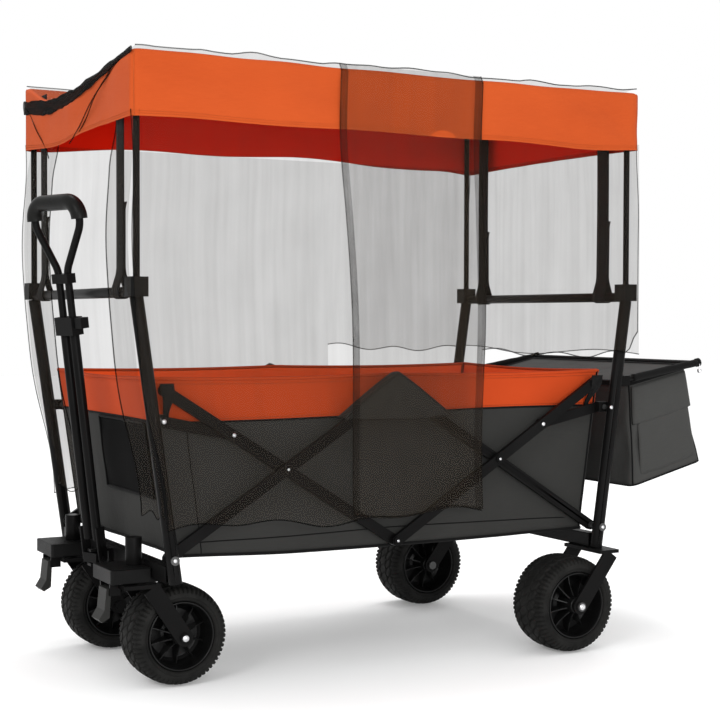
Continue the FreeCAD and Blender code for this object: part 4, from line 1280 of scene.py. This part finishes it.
def wheel_meshes(end_name):
    """Tyre and hub about the origin; what lies outside the barrel grows with the wheel."""
    tyre_low, tyre_high = mm_box(f"{end_name}_tyre_left")
    half, outer = (tyre_high.y - tyre_low.y) / 2, (tyre_high.z - tyre_low.z) / 2
    grown = outer / TREAD_RADIUS
    tyre = bmesh.new()
    turned(tyre, [(r * grown, y) for r, y in tyre_profile(half, TREAD_RADIUS, BORE_RADIUS)], 360,
           lambda turn, y, radius: tread(turn, y, radius / grown))
    hub = bmesh.new()
    rim = [(r * grown if r > BARREL_RADIUS else r, y) for r, y in HUB_PROFILE]
    turned(hub, rim + [(r, -y) for r, y in reversed(rim)] + [rim[0]], 96)
    for k in range(HUB_RIBS):
        for face in (-1, 1):
            outline = [(r * grown if r > BARREL_RADIUS else r, y) for r, y in RIB_OUTLINE]
            rotation = Matrix.Rotation(2 * math.pi * (k + 0.5) / HUB_RIBS, 4, "Y")
            layers = []
            for offset in (-1.4, 1.4):
                layers.append([hub.verts.new(rotation @ (Vector((r, face * y, offset)) / 1000))
                               for r, y in outline])
            hub.faces.new(layers[0])
            hub.faces.new(layers[1][::-1])
            for a in range(len(outline)):
                b = (a + 1) % len(outline)
                hub.faces.new([layers[0][a], layers[0][b], layers[1][b], layers[1][a]])
    return (to_object(f"{end_name}_tyre_pattern", tyre, TYRE),
            to_object(f"{end_name}_hub_pattern", hub, HUB, False))


for end_name in ("front", "rear"):
    tyre_pattern, hub_pattern = wheel_meshes(end_name)
    for side_name in SIDES:
        low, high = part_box(f"{end_name}_tyre_{side_name}")
        for kind, pattern, slot in (("tyre", tyre_pattern, "tyre"), ("hub", hub_pattern, "hub_plastic")):
            piece = bpy.data.objects.new(f"{end_name}_{kind}_{side_name}_moulded", pattern.data)
            bpy.context.scene.collection.objects.link(piece)
            piece.location = (low + high) / 2
            if kind == "hub":
                bevelled(piece, 0.7, 2, 30)
            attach(piece, f"{end_name}_wheel_{side_name}")
            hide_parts(f"{end_name}_{kind}_{side_name}")
    for pattern in (tyre_pattern, hub_pattern):
        bpy.data.objects.remove(pattern)

# ---- rivet heads -----------------------------------------------------------------------------


def dome(bm, centre, side, radius, height):
    """Domed head standing off a face that looks along Y."""
    rings = []
    for k in range(5):
        turn = math.pi / 2 * k / 5
        rings.append((radius * math.cos(turn), height * math.sin(turn)))
    top = bm.verts.new(centre + Vector((0, side * height, 0)) / 1000)
    verts = []
    turns = [2 * math.pi * n / 20 for n in range(20)]
    for ring, out in rings:
        offsets = [Vector((ring * math.cos(a), side * out, ring * math.sin(a))) / 1000 for a in turns]
        verts.append([bm.verts.new(centre + offset) for offset in offsets])
    for lower, upper in zip(verts, verts[1:]):
        for n in range(20):
            m = (n + 1) % 20
            bm.faces.new([lower[n], lower[m], upper[m], upper[n]])
    for n in range(20):
        bm.faces.new([verts[-1][n], verts[-1][(n + 1) % 20], top])


def rivet_heads(name, body, places, radius=4.2, height=2.6):
    bm = bmesh.new()
    for x, y, z in places:
        dome(bm, at(x, y, z), math.copysign(1, y), radius, height)
    heads = to_object(name, bm, ZINC)
    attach(heads, body)


LUG_FACE, ARM_FACE, LINK_FACE = 315.5, 287.4, 279.5
LUG_PLACES = ((462, 246), (482, 488.4))
AXLE_HEAD = (6.5, 3.5)
FRONT_AXLE_REACH = 66.0
for word, side in SIDES.items():
    for end_name, end in (("front", -1), ("rear", 1)):
        rivet_heads(f"{end_name}_lug_heads_{word}", f"{end_name}_frame",
                    [(end * x, side * LUG_FACE, z) for x, z in LUG_PLACES])
    rivet_heads(f"riser_heads_{word}", "front_risers",
                [(-231, side * ARM_FACE, 392), (0, side * ARM_FACE, 246)])
    rivet_heads(f"brace_heads_{word}", "rear_braces", [(231, side * ARM_FACE, 392)])
    rivet_heads(f"link_heads_{word}", "front_swing_links", [(-334.6, side * LINK_FACE, 457.5)])
    rivet_heads(f"rear_link_heads_{word}", "rear_braces", [(334.6, side * ARM_FACE, 457.5)])
    low, high = mm_box("rear_axle_bolts")
    axle = ((low.x + high.x) / 2, side * abs(low.y), (low.z + high.z) / 2)
    rivet_heads(f"rear_axle_head_{word}", "rear_frame", [axle], *AXLE_HEAD)
    low, high = mm_box(f"front_tyre_{word}")
    axle = ((low.x + high.x) / 2, (low.y + high.y) / 2 + side * FRONT_AXLE_REACH, (low.z + high.z) / 2)
    rivet_heads(f"front_axle_head_{word}", f"caster_{word}", [axle], *AXLE_HEAD)

# ---- stage, light and camera -----------------------------------------------------------------


def stage():
    """Pale flat floor."""
    bm = bmesh.new()
    grid(bm, lambda u, v: Vector((mix(-14, 14, u), mix(-14, 14, v), -0.0002)), 2, 2, (28, 28))
    made = Finish("studio_floor", 0.9, specular=0.1)
    tone = made.span(made.cloud(made.place(), 0.6), 0.0, 1.0)
    made.wire(Base_Color=made.blend(tone, (0.92, 0.92, 0.92), (0.90, 0.90, 0.90)))
    made.shader.inputs["Emission Color"].default_value = (1, 1, 1, 1)
    made.shader.inputs["Emission Strength"].default_value = 0.14
    floor = to_object("studio_floor", bm, made.material)


def area_light(name, place, target, size, power):
    data = bpy.data.lights.new(name, "AREA")
    data.shape = "RECTANGLE"
    data.size, data.size_y = size
    data.energy = power
    light = bpy.data.objects.new(name, data)
    bpy.context.scene.collection.objects.link(light)
    light.location = place
    light.rotation_mode = "QUATERNION"
    light.rotation_quaternion = (Vector(target) - Vector(place)).to_track_quat("-Z", "Y")


def lights():
    world = bpy.data.worlds.new("Studio")
    bpy.context.scene.world = world
    world.use_nodes = True
    background = world.node_tree.nodes["Background"]
    background.inputs["Color"].default_value = (1, 1, 1, 1)
    background.inputs["Strength"].default_value = 1.0
    area_light("key", (-3.4, -2.6, 2.4), (0, 0, 0.6), (1.2, 1.2), 44)
    area_light("front_fill", (-0.8, -4.0, 1.0), (0, 0.3, 0.5), (2.4, 0.6), 62)
    area_light("top", (0.2, 0.4, 3.6), (0, 0, 0.6), (2.4, 0.8), 46)
    area_light("rear_rim", (3.0, 1.6, 2.2), (0, 0, 0.6), (0.8, 1.6), 16)


CAMERA_PLACE = (-1431.4, -2763.3, 668.3)
CAMERA_YAW, CAMERA_PITCH, CAMERA_ROLL = 28.572, 1.593, 0.146
CAMERA_LENS = 75.69


def camera():
    data = bpy.data.cameras.new("camera")
    data.lens, data.sensor_width = CAMERA_LENS, 36.0
    data.clip_end = 60
    made = bpy.data.objects.new("camera", data)
    bpy.context.scene.collection.objects.link(made)
    yaw, pitch = math.radians(CAMERA_YAW), math.radians(CAMERA_PITCH)
    ahead = Vector((math.sin(yaw) * math.cos(pitch), math.cos(yaw) * math.cos(pitch), -math.sin(pitch)))
    made.location = at(*CAMERA_PLACE)
    made.rotation_mode = "QUATERNION"
    made.rotation_quaternion = ahead.to_track_quat("-Z", "Y") @ Matrix.Rotation(
        math.radians(CAMERA_ROLL), 3, "Z").to_quaternion()
    bpy.context.scene.camera = made


stage()
lights()
camera()
bpy.context.scene.view_settings.view_transform = "Standard"
